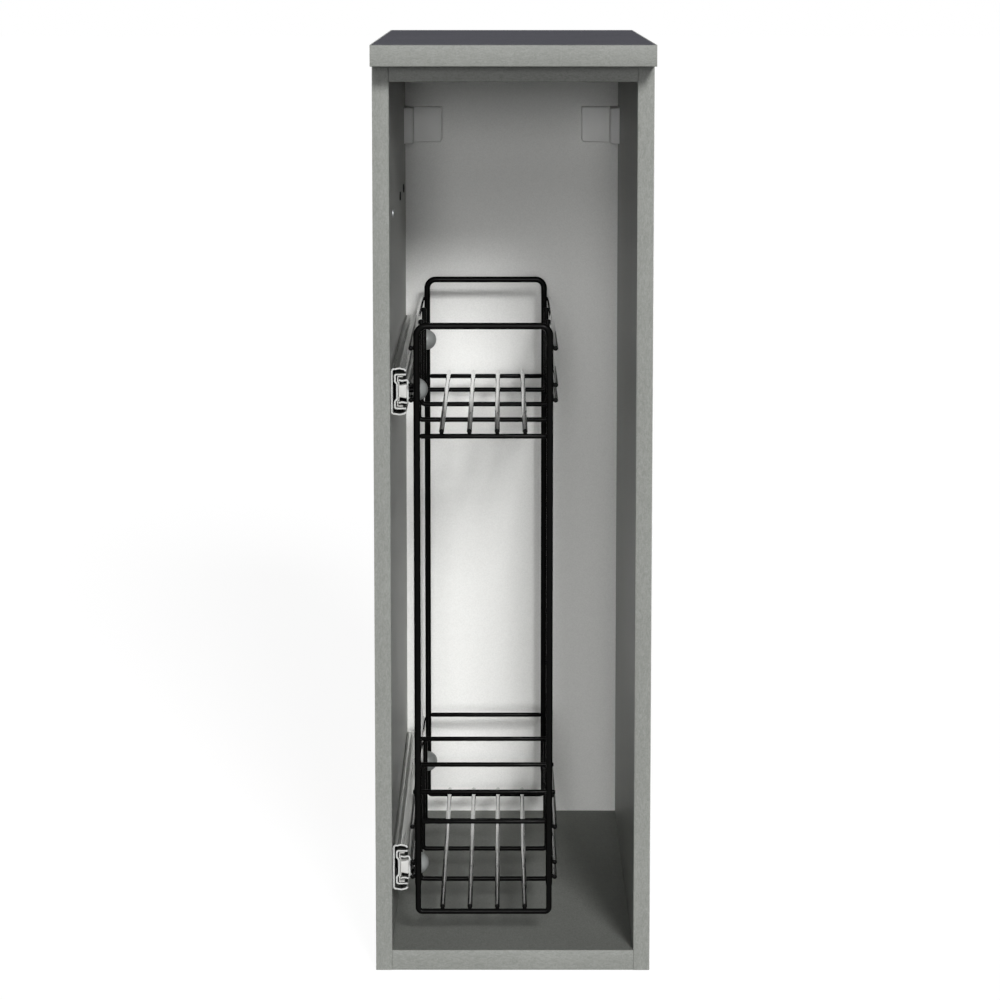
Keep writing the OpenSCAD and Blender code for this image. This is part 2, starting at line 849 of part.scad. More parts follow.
module pocket_rows(z, u, v) {
    for (s = [-1, 1])
        for (y = ball_ys) rod_z(wall_x + u, y, z + s * v - cut, z + s * v + cut, pocket_dia);
}

module outer_cage(z) {
    near_u = sheet_t + cage_gap;
    top = outer_ball_v + cage_t / 2;
    path = [[outer_ball_u + cage_flange, top], [near_u, top], [near_u, web_near_v + member_space]];
    difference() {
        runner_bar(z, cage_front, cage_len) {
            polygon(sheet_outline(path, cage_t));
            mirror([0, 1]) polygon(sheet_outline(path, cage_t));
        }
        pocket_rows(z, outer_ball_u, outer_ball_v);
    }
}

module upper_outer_cage() {
    color(dark_plastic) outer_cage(upper_runner_z);
}

module lower_outer_cage() {
    color(dark_plastic) outer_cage(lower_runner_z);
}

module inner_cage(z) {
    near_u = middle_near_u + sheet_t + cage_gap;
    far_u = middle_far_u + sheet_t + cage_gap;
    top = inner_ball_v + cage_t / 2;
    upper = [[inner_ball_u + cage_flange, top], [near_u, top], [near_u, web_near_v + cage_shift],
        [far_u, web_far_v + cage_shift]];
    difference() {
        runner_bar(z, cage_front, cage_len)
            polygon(sheet_outline(concat(upper, flipped(upper)), cage_t));
        pocket_rows(z, inner_ball_u, inner_ball_v);
    }
}

module upper_inner_cage() {
    color(dark_plastic) inner_cage(upper_runner_z);
}

module lower_inner_cage() {
    color(dark_plastic) inner_cage(lower_runner_z);
}

module upper_outer_balls() {
    color(steel) ball_rows(upper_runner_z, outer_ball_u, outer_ball_v, ball_dia);
}

module lower_outer_balls() {
    color(steel) ball_rows(lower_runner_z, outer_ball_u, outer_ball_v, ball_dia);
}

module upper_inner_balls() {
    color(steel) ball_rows(upper_runner_z, inner_ball_u, inner_ball_v, ball_dia);
}

module lower_inner_balls() {
    color(steel) ball_rows(lower_runner_z, inner_ball_u, inner_ball_v, ball_dia);
}

module runner_wall_screws() {
    head_x = wall_x + sheet_t;
    color(zinc)
        for (z = tier_z)
            for (d = wall_screw_depths) {
                rod_x(wall_x - screw_bite, head_x + rooted, runner_front + d, z, screw_dia);
                rod_x(head_x, head_x + screw_head_h, runner_front + d, z, screw_head_dia);
            }
}

module runner_rear_stops() {
    color(dark_plastic)
        for (z = tier_z)
            block([wall_x + sheet_t, runner_front + moving_len + member_gap, z - stop_h / 2],
                [wall_x + stop_w, runner_front + runner_len, z + stop_h / 2]);
}

module runner_front_stops() {
    color(grey_plastic)
        for (z = tier_z)
            block([wall_x + block_u, runner_front, z - block_h / 2],
                [wall_x + runner_w - sheet_t, runner_front + block_len, z + block_h / 2]);
}

// A quarter bend of wire in the XZ plane, its centre at the origin, from +X to +Z
module quarter_bend(r, dia) {
    rotate([90, 0, 0]) rotate_extrude(angle = 90) translate([r, 0]) circle(d = dia);
}

// A closed upright loop of wire. Below the lowest side rails the wire is drawn thinner
module wire_loop(y) {
    x0 = rack_mid_x - rack_w / 2;
    x1 = rack_mid_x + rack_w / 2;
    rod_x(x0 + frame_bend, x1 - frame_bend, y, rack_top_z, frame_wire);
    rod_x(x0 + foot_bend, x1 - foot_bend, y, rack_z, foot_wire);
    for (x = [x0, x1]) {
        rod_z(x, y, foot_top_z, rack_top_z - frame_bend, frame_wire);
        translate([x, y, foot_low_z])
            cylinder(h = foot_taper, d1 = foot_wire, d2 = frame_wire);
        rod_z(x, y, rack_z + foot_bend, foot_low_z, foot_wire);
    }
    translate([x1 - frame_bend, y, rack_top_z - frame_bend]) quarter_bend(frame_bend, frame_wire);
    translate([x0 + frame_bend, y, rack_top_z - frame_bend])
        mirror([1, 0, 0]) quarter_bend(frame_bend, frame_wire);
    translate([x1 - foot_bend, y, rack_z + foot_bend])
        mirror([0, 0, 1]) quarter_bend(foot_bend, foot_wire);
    translate([x0 + foot_bend, y, rack_z + foot_bend])
        mirror([1, 0, 0]) mirror([0, 0, 1]) quarter_bend(foot_bend, foot_wire);
}

module rack_front_frame() {
    color(black_wire) wire_loop(rack_front_y);
}

module rack_rear_frame() {
    color(black_wire) wire_loop(rack_rear_y);
}

// A cross wire: a floor length with both ends bent up to the top rail
module cross_wire(y, z0, z1) {
    x0 = rack_mid_x - cross_w / 2;
    x1 = rack_mid_x + cross_w / 2;
    rod_x(x0 + wire_bend, x1 - wire_bend, y, z0, thin_wire);
    for (x = [x0, x1]) rod_z(x, y, z0 + wire_bend, z1, thin_wire);
    translate([x1 - wire_bend, y, z0 + wire_bend])
        mirror([0, 0, 1]) quarter_bend(wire_bend, thin_wire);
    translate([x0 + wire_bend, y, z0 + wire_bend])
        mirror([1, 0, 0]) mirror([0, 0, 1]) quarter_bend(wire_bend, thin_wire);
}

module cross_wires(tier) {
    for (i = [1:3])
        cross_wire(stations[i], floor_z[tier], tier_z[tier] + top_rail_rise + thin_wire / 2);
}

module upper_cross_wires() {
    color(black_wire) cross_wires(UPPER);
}

module lower_cross_wires() {
    color(black_wire) cross_wires(LOWER);
}

// A straight bar across one of the frames, between its uprights
module frame_bar(y, z) {
    half = (rack_w - frame_wire) / 2 + weld;
    rod_x(rack_mid_x - half, rack_mid_x + half, y, z, thin_wire);
}

module upper_end_bars() {
    color(black_wire)
        for (y = [rack_front_y, rack_rear_y]) frame_bar(y, floor_z[UPPER]);
}

module floor_wires(tier) {
    z = floor_z[tier] + thin_wire - weld;
    for (row = floor_rows)
        rod_y(rack_mid_x + row * floor_pitch, rack_front_y - wire_end, rack_rear_y + wire_end, z,
            thin_wire);
}

module upper_floor_wires() {
    color(black_wire) floor_wires(UPPER);
}

module lower_floor_wires() {
    color(black_wire) floor_wires(LOWER);
}

// The three rails of one side of a tier
module side_rails(side, tier) {
    reach = frame_wire / 2 + wire_end;
    for (rise = [-rail_offset, rail_offset, top_rail_rise])
        rod_y(rack_mid_x + side * rail_half, rack_front_y - reach, rack_rear_y + reach,
            tier_z[tier] + rise, thin_wire);
}

module upper_left_rails() {
    color(black_wire) side_rails(-1, UPPER);
}

module upper_right_rails() {
    color(black_wire) side_rails(1, UPPER);
}

module lower_left_rails() {
    color(black_wire) side_rails(-1, LOWER);
}

module lower_right_rails() {
    color(black_wire) side_rails(1, LOWER);
}

module bottle_divider_bars() {
    z = lower_runner_z + top_rail_rise + thin_wire - weld;
    half = rail_half + thin_wire / 2;
    color(black_wire) {
        for (y = [rack_front_y, rack_rear_y]) frame_bar(y, z);
        for (i = [1:3]) rod_x(rack_mid_x - half, rack_mid_x + half, stations[i], z, thin_wire);
    }
}

// Half of the dome's outline, which turns about the screw's axis
module dome_outline() {
    r = (pow(dome_dia / 2, 2) + pow(dome_h, 2)) / (2 * dome_h);
    bore_r = clamp_screw_dia / 2 + clamp_thread_play;
    difference() {
        intersection() {
            translate([0, dome_h - r]) circle(r = r);
            square([dome_dia, dome_h + cut]);
        }
        translate([-cut, -cut]) square([bore_r + cut, dome_h - dome_skin + cut]);
    }
}

module clamp_dome(y, z) {
    translate([dome_base_x, y, z]) rotate([0, 90, 0]) rotate_extrude() dome_outline();
}

module clamp_domes() {
    color(clamp_grey)
        for (z = tier_z)
            for (y = clamp_ys) clamp_dome(y, z);
}

module clamp_screws() {
    head_x = wall_x + runner_w - sheet_t;
    color(steel)
        for (z = tier_z)
            for (y = clamp_ys) {
                rod_x(head_x - clamp_head_h, head_x, y, z, clamp_head_dia);
                rod_x(head_x - rooted, dome_base_x + dome_h - dome_skin - rooted, y, z, clamp_screw_dia);
            }
}

left_side_panel();
right_side_panel();
bottom_panel();
top_panel();
back_panel();
front_rail();
rear_rail();
left_edge_strip();
right_edge_strip();
bottom_edge_strip();
front_rail_edge_strip();
top_front_edge_strip();
top_side_edge_strips();
wood_dowels();
cam_bolts();
cam_housings();
top_fixing_screws();
hole_plug();
hole_sleeves();
left_hanger_bracket();
right_hanger_bracket();
left_hanger_hook();
right_hanger_hook();
left_hanger_cover();
right_hanger_cover();
hanger_screws();
hook_screws();
upper_outer_member();
lower_outer_member();
upper_middle_member();
lower_middle_member();
upper_inner_member();
lower_inner_member();
upper_outer_cage();
lower_outer_cage();
upper_inner_cage();
lower_inner_cage();
upper_outer_balls();
lower_outer_balls();
upper_inner_balls();
lower_inner_balls();
runner_wall_screws();
runner_rear_stops();
runner_front_stops();
rack_front_frame();
rack_rear_frame();
upper_cross_wires();
lower_cross_wires();
upper_end_bars();
upper_floor_wires();
lower_floor_wires();
upper_left_rails();
upper_right_rails();
lower_left_rails();
lower_right_rails();
bottle_divider_bars();
clamp_domes();
clamp_screws();
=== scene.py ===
# %% [markdown]
# # A narrow spice cabinet with a pull-out wire rack
#
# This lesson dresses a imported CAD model. The model gives the boards, the runners and every place;
# here they get their finishes, and the bent wires, the moulded parts and the screw heads are made
# again as smooth surfaces. Everything is in metres, with the open front facing -Y and Z up.

import math

import bpy
import numpy as np
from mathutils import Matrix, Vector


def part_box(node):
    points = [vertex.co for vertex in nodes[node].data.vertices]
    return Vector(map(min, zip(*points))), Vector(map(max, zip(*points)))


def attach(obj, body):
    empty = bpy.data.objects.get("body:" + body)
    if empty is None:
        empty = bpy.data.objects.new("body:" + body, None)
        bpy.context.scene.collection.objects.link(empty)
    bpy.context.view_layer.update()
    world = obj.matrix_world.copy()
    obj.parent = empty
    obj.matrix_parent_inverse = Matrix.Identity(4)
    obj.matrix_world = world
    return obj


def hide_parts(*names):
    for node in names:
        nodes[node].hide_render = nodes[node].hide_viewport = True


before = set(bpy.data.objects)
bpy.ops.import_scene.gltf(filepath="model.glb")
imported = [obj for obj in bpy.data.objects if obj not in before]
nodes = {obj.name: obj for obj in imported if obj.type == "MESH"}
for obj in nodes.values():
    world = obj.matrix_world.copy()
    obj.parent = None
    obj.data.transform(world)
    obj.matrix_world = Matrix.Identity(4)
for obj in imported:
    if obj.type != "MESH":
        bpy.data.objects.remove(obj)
scene = bpy.context.scene
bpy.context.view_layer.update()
MM = 0.001
print("CAD nodes:", len(nodes))

# %% [markdown]
# ## The camera
#
# The photograph has one vanishing point, straight above the cabinet. From it and from the widths of
# the front and of the back panel follow the camera's height and distance. The camera tilts down to
# take the whole cabinet in, because a lens shift would also push it out of every other view.

# %% Place the camera
CAMERA_PLACE = (-7.5 * MM, -2844.0 * MM, 736.6 * MM)
CAMERA_TILT = math.radians(8.40)
CAMERA_TURN = math.radians(0.04)
SENSOR_WIDE = 36.0
FOCAL_LENGTH = 133.5
FAR_CLIP = 100.0
lens = bpy.data.cameras.new("photo_camera")
lens.sensor_width = SENSOR_WIDE
lens.lens = FOCAL_LENGTH
lens.clip_end = FAR_CLIP
camera = bpy.data.objects.new("photo_camera", lens)
camera.location = CAMERA_PLACE
camera.rotation_euler = (math.pi / 2 - CAMERA_TILT, 0.0, CAMERA_TURN)
scene.collection.objects.link(camera)
scene.camera = camera
print("Camera at", camera.location, "with a lens of", lens.lens, "mm")

# %% [markdown]
# ## Nodes for the finishes
#
# A finish is a small tree of shader nodes. Writing each node's place and every link by hand takes
# many lines, so one helper adds a node, sets its values by name and links whatever is a socket.


# %% A helper that adds one shader node
def add(tree, kind, values=None, **settings):
    """Adds a node of one kind. Values that are sockets are linked, and all others are written."""
    made = tree.nodes.new(kind)
    for name, value in settings.items():
        setattr(made, name, value)
    for name, value in (values or {}).items():
        if isinstance(value, bpy.types.NodeSocket):
            tree.links.new(value, made.inputs[name])
        else:
            made.inputs[name].default_value = value
    return made


def new_finish(name):
    """An empty finish with its Principled shader already linked to the output."""
    finish = bpy.data.materials.new(name)
    finish.use_nodes = True
    tree = finish.node_tree
    tree.nodes.clear()
    shader = add(tree, "ShaderNodeBsdfPrincipled")
    output = add(tree, "ShaderNodeOutputMaterial")
    tree.links.new(shader.outputs["BSDF"], output.inputs["Surface"])
    return finish, tree, shader


EVEN = (1.0, 1.0, 1.0)


def grain(tree, stretch, scale, detail=3.0, distortion=0.0, roughness=0.5):
    """Noise on Object coordinates, each axis first multiplied by its stretch, so that a small
    number draws the grain out along that axis. Scale counts features in a metre."""
    place = add(tree, "ShaderNodeTexCoord").outputs["Object"]
    drawn = add(tree, "ShaderNodeMapping", {"Vector": place, "Scale": stretch})
    noise = add(tree, "ShaderNodeTexNoise", {
        "Vector": drawn.outputs["Vector"], "Scale": scale, "Detail": detail,
        "Roughness": roughness, "Distortion": distortion})
    return noise.outputs["Fac"]


def ramp(tree, factor, low, high, colour_low, colour_high):
    """A colour that goes from one to the other while the factor goes from low to high."""
    made = add(tree, "ShaderNodeValToRGB", {"Fac": factor})
    first, last = made.color_ramp.elements
    first.position, last.position = low, high
    first.color = (*colour_low, 1.0)
    last.color = (*colour_high, 1.0)
    return made.outputs["Color"]


def span(tree, factor, low, high, new_low, new_high):
    """Carries the factor from one range to another and stays inside the new one."""
    made = add(tree, "ShaderNodeMapRange", {
        "Value": factor, "From Min": low, "From Max": high, "To Min": new_low, "To Max": new_high})
    return made.outputs["Result"]


def blend_colours(tree, factor, colour_a, colour_b):
    """Colour a where the factor is 0 and colour b where it is 1."""
    made = add(tree, "ShaderNodeMix", data_type="RGBA")
    tree.links.new(factor, made.inputs[0])
    for socket, colour in ((made.inputs[6], colour_a), (made.inputs[7], colour_b)):
        if isinstance(colour, bpy.types.NodeSocket):
            tree.links.new(colour, socket)
        else:
            socket.default_value = (*colour, 1.0)
    return made.outputs[2]


def relief(tree, shader, height, strength, distance):
    """Bumps the shader's normal by a height of that many metres at most."""
    bump = add(tree, "ShaderNodeBump", {
        "Height": height, "Strength": strength, "Distance": distance})
    tree.links.new(bump.outputs["Normal"], shader.inputs["Normal"])


def math_of(tree, operation, first, second=0.0):
    """One Math node on two numbers or sockets."""
    made = add(tree, "ShaderNodeMath", operation=operation)
    for index, value in enumerate((first, second)):
        if isinstance(value, bpy.types.NodeSocket):
            tree.links.new(value, made.inputs[index])
        else:
            made.inputs[index].default_value = value
    return made.outputs["Value"]


def shares(tree, first, share, second, rest):
    """The first value times its share plus the second times the rest."""
    return math_of(tree, "ADD", math_of(tree, "MULTIPLY", first, share),
                   math_of(tree, "MULTIPLY", second, rest))


def facing(tree, axis):
    """How far the face looks along an axis, 0 for X, 1 for Y and 2 for Z: from -1 to 1."""
    normal = add(tree, "ShaderNodeNewGeometry").outputs["True Normal"]
    return add(tree, "ShaderNodeSeparateXYZ", {"Vector": normal}).outputs[axis]


print("Helpers for finishes are ready")

# %% [markdown]
# ## Grey laminate
#
# The boards are chipboard under a decor paper, pressed with a steel sheet that leaves a fine pore
# pattern: short crooked strokes, about a millimetre wide, that mostly follow the board's length.
# A picture of laminate would repeat and bring its own light along, so two layers of noise make
# it, one drawn out along the board and one even. Both move the colour a little, and both make the
# relief. Where the board was sawn, its chips show, which the direction of the face tells: a
# laminated face looks along the board's thickness. The photograph shows the top of the cabinet
# slightly cooler than the rest; it is the same laminate, so its tint is painted cool light from
# above.


# %% The laminate and the sawn chipboard
LAMINATE_LIGHT = (0.282, 0.290, 0.271)
LAMINATE_DEEP = (0.210, 0.217, 0.201)
# The top's tint is painted cool light from above: the top is the same laminate as the rest.
PAINTED_COOL_LIGHT_TINT = (0.974, 0.950, 1.166)
ALONG_Z = (1.0, 1.0, 0.35)
ALONG_Y = (1.0, 0.35, 1.0)
ALONG_X = (0.35, 1.0, 1.0)


def laminate_parts(tree, stretch, tint):
    """The decor's colour and the height of its pores."""
    strokes = grain(tree, stretch, 520.0, detail=4.0, distortion=1.8)
    pores = grain(tree, EVEN, 800.0, detail=2.0, distortion=0.6)
    clouds = grain(tree, EVEN, 9.0, detail=2.0)
    height = shares(tree, strokes, 0.65, pores, 0.35)
    tone = shares(tree, height, 0.85, clouds, 0.15)
    deep, light = (np.array(plain) * tint for plain in (LAMINATE_DEEP, LAMINATE_LIGHT))
    return ramp(tree, tone, 0.38, 0.62, deep, light), height


def chipboard_parts(tree):
    """The colour and the height of flat chips of several woods."""
    place = add(tree, "ShaderNodeTexCoord").outputs["Object"]
    flat = add(tree, "ShaderNodeMapping", {"Vector": place, "Scale": (1.0, 0.55, 0.55)})
    chips = add(tree, "ShaderNodeTexVoronoi", {
        "Vector": flat.outputs["Vector"], "Scale": 520.0, "Randomness": 1.0})
    fibres = grain(tree, (1.0, 1.0, 0.3), 1400.0, detail=2.0)
    chance = add(tree, "ShaderNodeSeparateColor", {"Color": chips.outputs["Color"]})
    lumps = shares(tree, chance.outputs[0], 0.6, fibres, 0.4)
    return ramp(tree, lumps, 0.15, 0.85, (0.25, 0.15, 0.07), (0.56, 0.42, 0.25)), lumps


def laminate(name, stretch, specular, roughness, thickness_axis=None, tint=(1.0, 1.0, 1.0)):
    """Laminate with its grain along the smallest stretch. Faces that look another way than along
    the thickness axis, 0 for X and 2 for Z, are sawn board, and without an axis there are none.
    The tint multiplies the decor's colours."""
    finish, tree, shader = new_finish(name)
    colour, height = laminate_parts(tree, stretch, tint)
    rough = span(tree, height, 0.3, 0.7, *roughness)
    if thickness_axis is not None:
        flat = math_of(tree, "ABSOLUTE", facing(tree, thickness_axis))
        sawn = math_of(tree, "LESS_THAN", flat, 0.5)
        chips, lumps = chipboard_parts(tree)
        colour = blend_colours(tree, sawn, colour, chips)
        plain = math_of(tree, "SUBTRACT", 1.0, sawn)
        height = shares(tree, height, plain, lumps, sawn)
        rough = math_of(tree, "ADD", rough, math_of(tree, "MULTIPLY", sawn, 0.35))
    tree.links.new(colour, shader.inputs["Base Color"])
    tree.links.new(rough, shader.inputs["Roughness"])
    shader.inputs["Specular IOR Level"].default_value = specular
    relief(tree, shader, height, 0.35, 0.00012)
    return finish


side_laminate = laminate("laminate_side", ALONG_Z, 0.2, (0.36, 0.44), thickness_axis=0)
level_laminate = laminate("laminate_level", ALONG_Y, 0.05, (0.48, 0.56), thickness_axis=2)
# The top panel's laminate carries the painted cool light tint.
top_laminate = laminate("laminate_top", ALONG_X, 0.0, (0.46, 0.54), thickness_axis=2,
                        tint=PAINTED_COOL_LIGHT_TINT)
upright_strip = laminate("laminate_upright_strip", ALONG_Z, 0.25, (0.42, 0.50))
cross_strip = laminate("laminate_cross_strip", ALONG_X, 0.25, (0.42, 0.50))
print("Laminates:", side_laminate.name, level_laminate.name, top_laminate.name)

# %% [markdown]
# ## Back board
#
# The back is a thin fibre board, lacquered white on the side that shows and raw behind. The lacquer
# keeps a fine speckle from the fibres under it. The raw side is light brown felted fibre. Two
# materials would need the faces sorted first, so one material asks each face which way it looks.


# %% The back board's two sides
def back_board_finish():
    """Faces that look backwards are raw fibre, and all others are lacquered."""
    finish, tree, shader = new_finish("back_board")
    speckle = grain(tree, EVEN, 1100.0, detail=3.0)
    white = ramp(tree, speckle, 0.30, 0.70, (0.848, 0.848, 0.828), (0.928, 0.928, 0.907))
    felt = grain(tree, EVEN, 420.0, detail=6.0, distortion=1.2, roughness=0.65)
    brown = ramp(tree, felt, 0.30, 0.72, (0.215, 0.120, 0.056), (0.400, 0.262, 0.142))
    raw = math_of(tree, "GREATER_THAN", facing(tree, 1), 0.5)
    tree.links.new(blend_colours(tree, raw, white, brown), shader.inputs["Base Color"])
    tree.links.new(math_of(tree, "ADD", 0.5, math_of(tree, "MULTIPLY", raw, 0.3)),
                   shader.inputs["Roughness"])
    shader.inputs["Specular IOR Level"].default_value = 0.2
    relief(tree, shader, math_of(tree, "ADD", speckle, math_of(tree, "MULTIPLY", felt, raw)),
           0.3, 0.00008)
    return finish


back_board = back_board_finish()
print("Back board:", back_board.name)

# %% [markdown]
# ## Metals
#
# Rolled strip keeps long fine lines from the mill, and the zinc on it is a little cloudy. An
# anisotropic gloss would stretch the highlights but show no lines. So one noise is drawn out along
# the runner and moves the roughness, and one of larger clouds moves the colour. The runner's ends
# are sheared and dull. Cast zinc is rougher and mottled, and the balls are polished.


# %% The metals
def metal(name, light, deep, smooth, rough, stretch, scale, depth=0.00003, cut_ends=False):
    """Lines along the smallest stretch move the roughness, and soft clouds move the colour. Cut
    ends look along Y: they were sheared, so they are dull and grainy."""
    finish, tree, shader = new_finish(name)
    lines = grain(tree, stretch, scale, detail=3.0)
    cloud = grain(tree, stretch, scale * 0.12, detail=3.0)
    colour = ramp(tree, cloud, 0.3, 0.7, deep, light)
    roughness = span(tree, lines, 0.3, 0.7, smooth, rough)
    shader.inputs["Metallic"].default_value = 1.0
    if cut_ends:
        at_end = math_of(tree, "GREATER_THAN", math_of(tree, "ABSOLUTE", facing(tree, 1)), 0.7)
        torn = grain(tree, EVEN, 2600.0, detail=2.0)
        dull = ramp(tree, torn, 0.3, 0.7, (0.42, 0.43, 0.42), (0.62, 0.63, 0.61))
        colour = blend_colours(tree, at_end, colour, dull)
        roughness = math_of(tree, "MAXIMUM", roughness, math_of(tree, "MULTIPLY", at_end, 0.7))
        tree.links.new(math_of(tree, "SUBTRACT", 1.0, at_end), shader.inputs["Metallic"])
    tree.links.new(colour, shader.inputs["Base Color"])
    tree.links.new(roughness, shader.inputs["Roughness"])
    relief(tree, shader, lines, 0.25, depth)
    return finish


rolled_zinc = metal("rolled_zinc", (0.60, 0.61, 0.59), (0.50, 0.51, 0.50), 0.24, 0.34,
                    (1.0, 0.004, 1.0), 900.0, 0.00001, cut_ends=True)
plated_steel = metal("plated_steel", (0.70, 0.71, 0.73), (0.58, 0.59, 0.62), 0.20, 0.34,
                     EVEN, 800.0)
cast_zinc = metal("cast_zinc", (0.52, 0.53, 0.54), (0.38, 0.39, 0.40), 0.38, 0.55,
                  EVEN, 1300.0, 0.00006)
pressed_steel = metal("pressed_steel", (0.62, 0.63, 0.64), (0.50, 0.51, 0.53), 0.26, 0.42,
                      (1.0, 0.2, 0.2), 700.0)
polished_steel = metal("polished_steel", (0.76, 0.77, 0.78), (0.70, 0.71, 0.72), 0.06, 0.12,
                       EVEN, 1500.0, 0.00001)
print("Metals:", rolled_zinc.name, plated_steel.name, cast_zinc.name)

# %% [markdown]
# ## Coating, plastics and wood
#
# The wires are dipped in black and come out glossy with a slight orange peel. A plain black gloss
# would draw every highlight as one hard line, and the peel breaks it up. The photograph shows the
# wires that run from front to back far shinier than the rest, so these have a clear coat. The
# screws at the runners and clamps are black too. The moulded parts are satin with the fine texture
# of a spark-eroded mould. The dowels are beech, with short flecks.


# %% The black coating
def coating_finish(name, specular, clear):
    """Specular is the black coating's own gloss, and clear a clear coat's weight over it. The
    orange peel moves roughness and relief, and fine dust moves the colour."""
    finish, tree, shader = new_finish(name)
    peel = grain(tree, EVEN, 420.0, detail=1.0)
    dust = grain(tree, EVEN, 2600.0, detail=2.0)
    tree.links.new(ramp(tree, dust, 0.35, 0.75, (0.0020, 0.0020, 0.0019), (0.0042, 0.0042, 0.004)),
                   shader.inputs["Base Color"])
    tree.links.new(span(tree, peel, 0.3, 0.7, 0.13, 0.22), shader.inputs["Roughness"])
    shader.inputs["Specular IOR Level"].default_value = specular
    shader.inputs["Coat Weight"].default_value = clear
    shader.inputs["Coat Roughness"].default_value = 0.04
    shader.inputs["Coat IOR"].default_value = 1.7
    relief(tree, shader, peel, 0.2, 0.00008)
    return finish


# %% The plastics
def plastic(name, light, deep, smooth, rough, depth):
    """Slow flow lines move the colour, and the mould's texture moves roughness and relief."""
    finish, tree, shader = new_finish(name)
    texture = grain(tree, EVEN, 2200.0, detail=2.0)
    flow = grain(tree, (1.0, 1.0, 0.4), 60.0, detail=2.0)
    tree.links.new(ramp(tree, flow, 0.3, 0.7, deep, light), shader.inputs["Base Color"])
    tree.links.new(span(tree, texture, 0.3, 0.7, smooth, rough), shader.inputs["Roughness"])
    shader.inputs["Specular IOR Level"].default_value = 0.4
    relief(tree, shader, texture, 0.25, depth)
    return finish


# %% The beech of the dowels
def beech_finish():
    """Rings drawn out along the dowel, with darker flecks across them."""
    finish, tree, shader = new_finish("dowel_beech")
    rings = grain(tree, (0.06, 1.0, 1.0), 700.0, detail=4.0)
    flecks = grain(tree, (0.25, 1.0, 1.0), 1900.0, detail=1.0)
    wood = ramp(tree, rings, 0.3, 0.7, (0.42, 0.25, 0.12), (0.62, 0.43, 0.25))
    dark = math_of(tree, "MULTIPLY", span(tree, flecks, 0.62, 0.72, 0.0, 1.0), 0.5)
    tree.links.new(blend_colours(tree, dark, wood, (0.26, 0.13, 0.06)),
                   shader.inputs["Base Color"])
    shader.inputs["Roughness"].default_value = 0.65
    relief(tree, shader, rings, 0.3, 0.0001)
    return finish


black_coating = coating_finish("black_coating", 0.035, 0.0)
polished_coating = coating_finish("polished_coating", 0.9, 1.0)
cover_plastic = plastic("cover_plastic", (0.90, 0.90, 0.885), (0.86, 0.86, 0.845), 0.36, 0.50,
                        0.00003)
clamp_plastic = plastic("clamp_plastic", (0.27, 0.28, 0.275), (0.23, 0.24, 0.235), 0.32, 0.46,
                        0.00003)
stop_plastic = plastic("stop_plastic", (0.62, 0.62, 0.60), (0.56, 0.56, 0.54), 0.45, 0.58,
                       0.00003)
# Near-black plastic for the ball cages and rear stops; on the shelf-pin sleeves this near-black is
# painted shade.
cage_plastic = plastic("cage_plastic", (0.022, 0.022, 0.024), (0.014, 0.014, 0.015), 0.30, 0.45,
                       0.00002)
dowel_beech = beech_finish()
print("Coatings:", black_coating.name, polished_coating.name)
print("Plastics:", cover_plastic.name, clamp_plastic.name, stop_plastic.name, cage_plastic.name)

# %% [markdown]
# ## Finishes for the CAD nodes
#
# Where the CAD's shape is already right, the node stays and only gets its finish. The meshes aren't
# touched: the finish goes into the material slots that the nodes already have.

# %% Give every CAD node its finish
NODE_FINISHES = {
    side_laminate: ["left_side_panel", "right_side_panel"],
    level_laminate: ["bottom_panel", "front_rail"],
    top_laminate: ["top_panel"],
    back_board: ["back_panel"],
    upright_strip: ["left_edge_strip", "right_edge_strip"],
    cross_strip: ["rear_rail", "bottom_edge_strip", "front_rail_edge_strip",
                  "top_front_edge_strip", "top_side_edge_strips"],
    dowel_beech: ["wood_dowels"],
    cast_zinc: ["cam_bolts", "cam_housings"],
    plated_steel: ["top_fixing_screws", "hanger_screws", "hook_screws", "hole_plug"],
    pressed_steel: ["left_hanger_bracket", "right_hanger_bracket", "left_hanger_hook",
                    "right_hanger_hook"],
    rolled_zinc: [f"{tier}_{part}_member" for tier in ("upper", "lower")
                  for part in ("outer", "middle", "inner")],
    polished_steel: [f"{tier}_{part}_balls" for tier in ("upper", "lower")
                     for part in ("outer", "inner")],
    # The shelf-pin sleeves get the near-black plastic as painted shade.
    cage_plastic: [f"{tier}_{part}_cage" for tier in ("upper", "lower")
                   for part in ("outer", "inner")] + ["runner_rear_stops", "hole_sleeves"],
    cover_plastic: ["left_hanger_cover", "right_hanger_cover"],
    stop_plastic: ["runner_front_stops"],
    clamp_plastic: ["clamp_domes"],
    black_coating: ["clamp_screws", "runner_wall_screws"],
}
finished = 0
for finish, names in NODE_FINISHES.items():
    for name in names:
        for place in nodes[name].material_slots:
            place.material = finish
        finished += 1
print("CAD nodes with a finish:", finished)

# %% [markdown]
# ## Surfaces from arrays
#
# Curves and modifiers could make most of these shapes. Arrays keep every size in plain sight, and
# they close each shell exactly. Each new surface is a grid of points, worked out for the whole grid
# at once. Every row closes on itself. The columns may too, or else the first and last row end in
# one point, as a ball does at its poles. One function turns such a grid into points and faces, and
# one joins many shells into a single mesh, so that a hundred small shapes are still one piece.


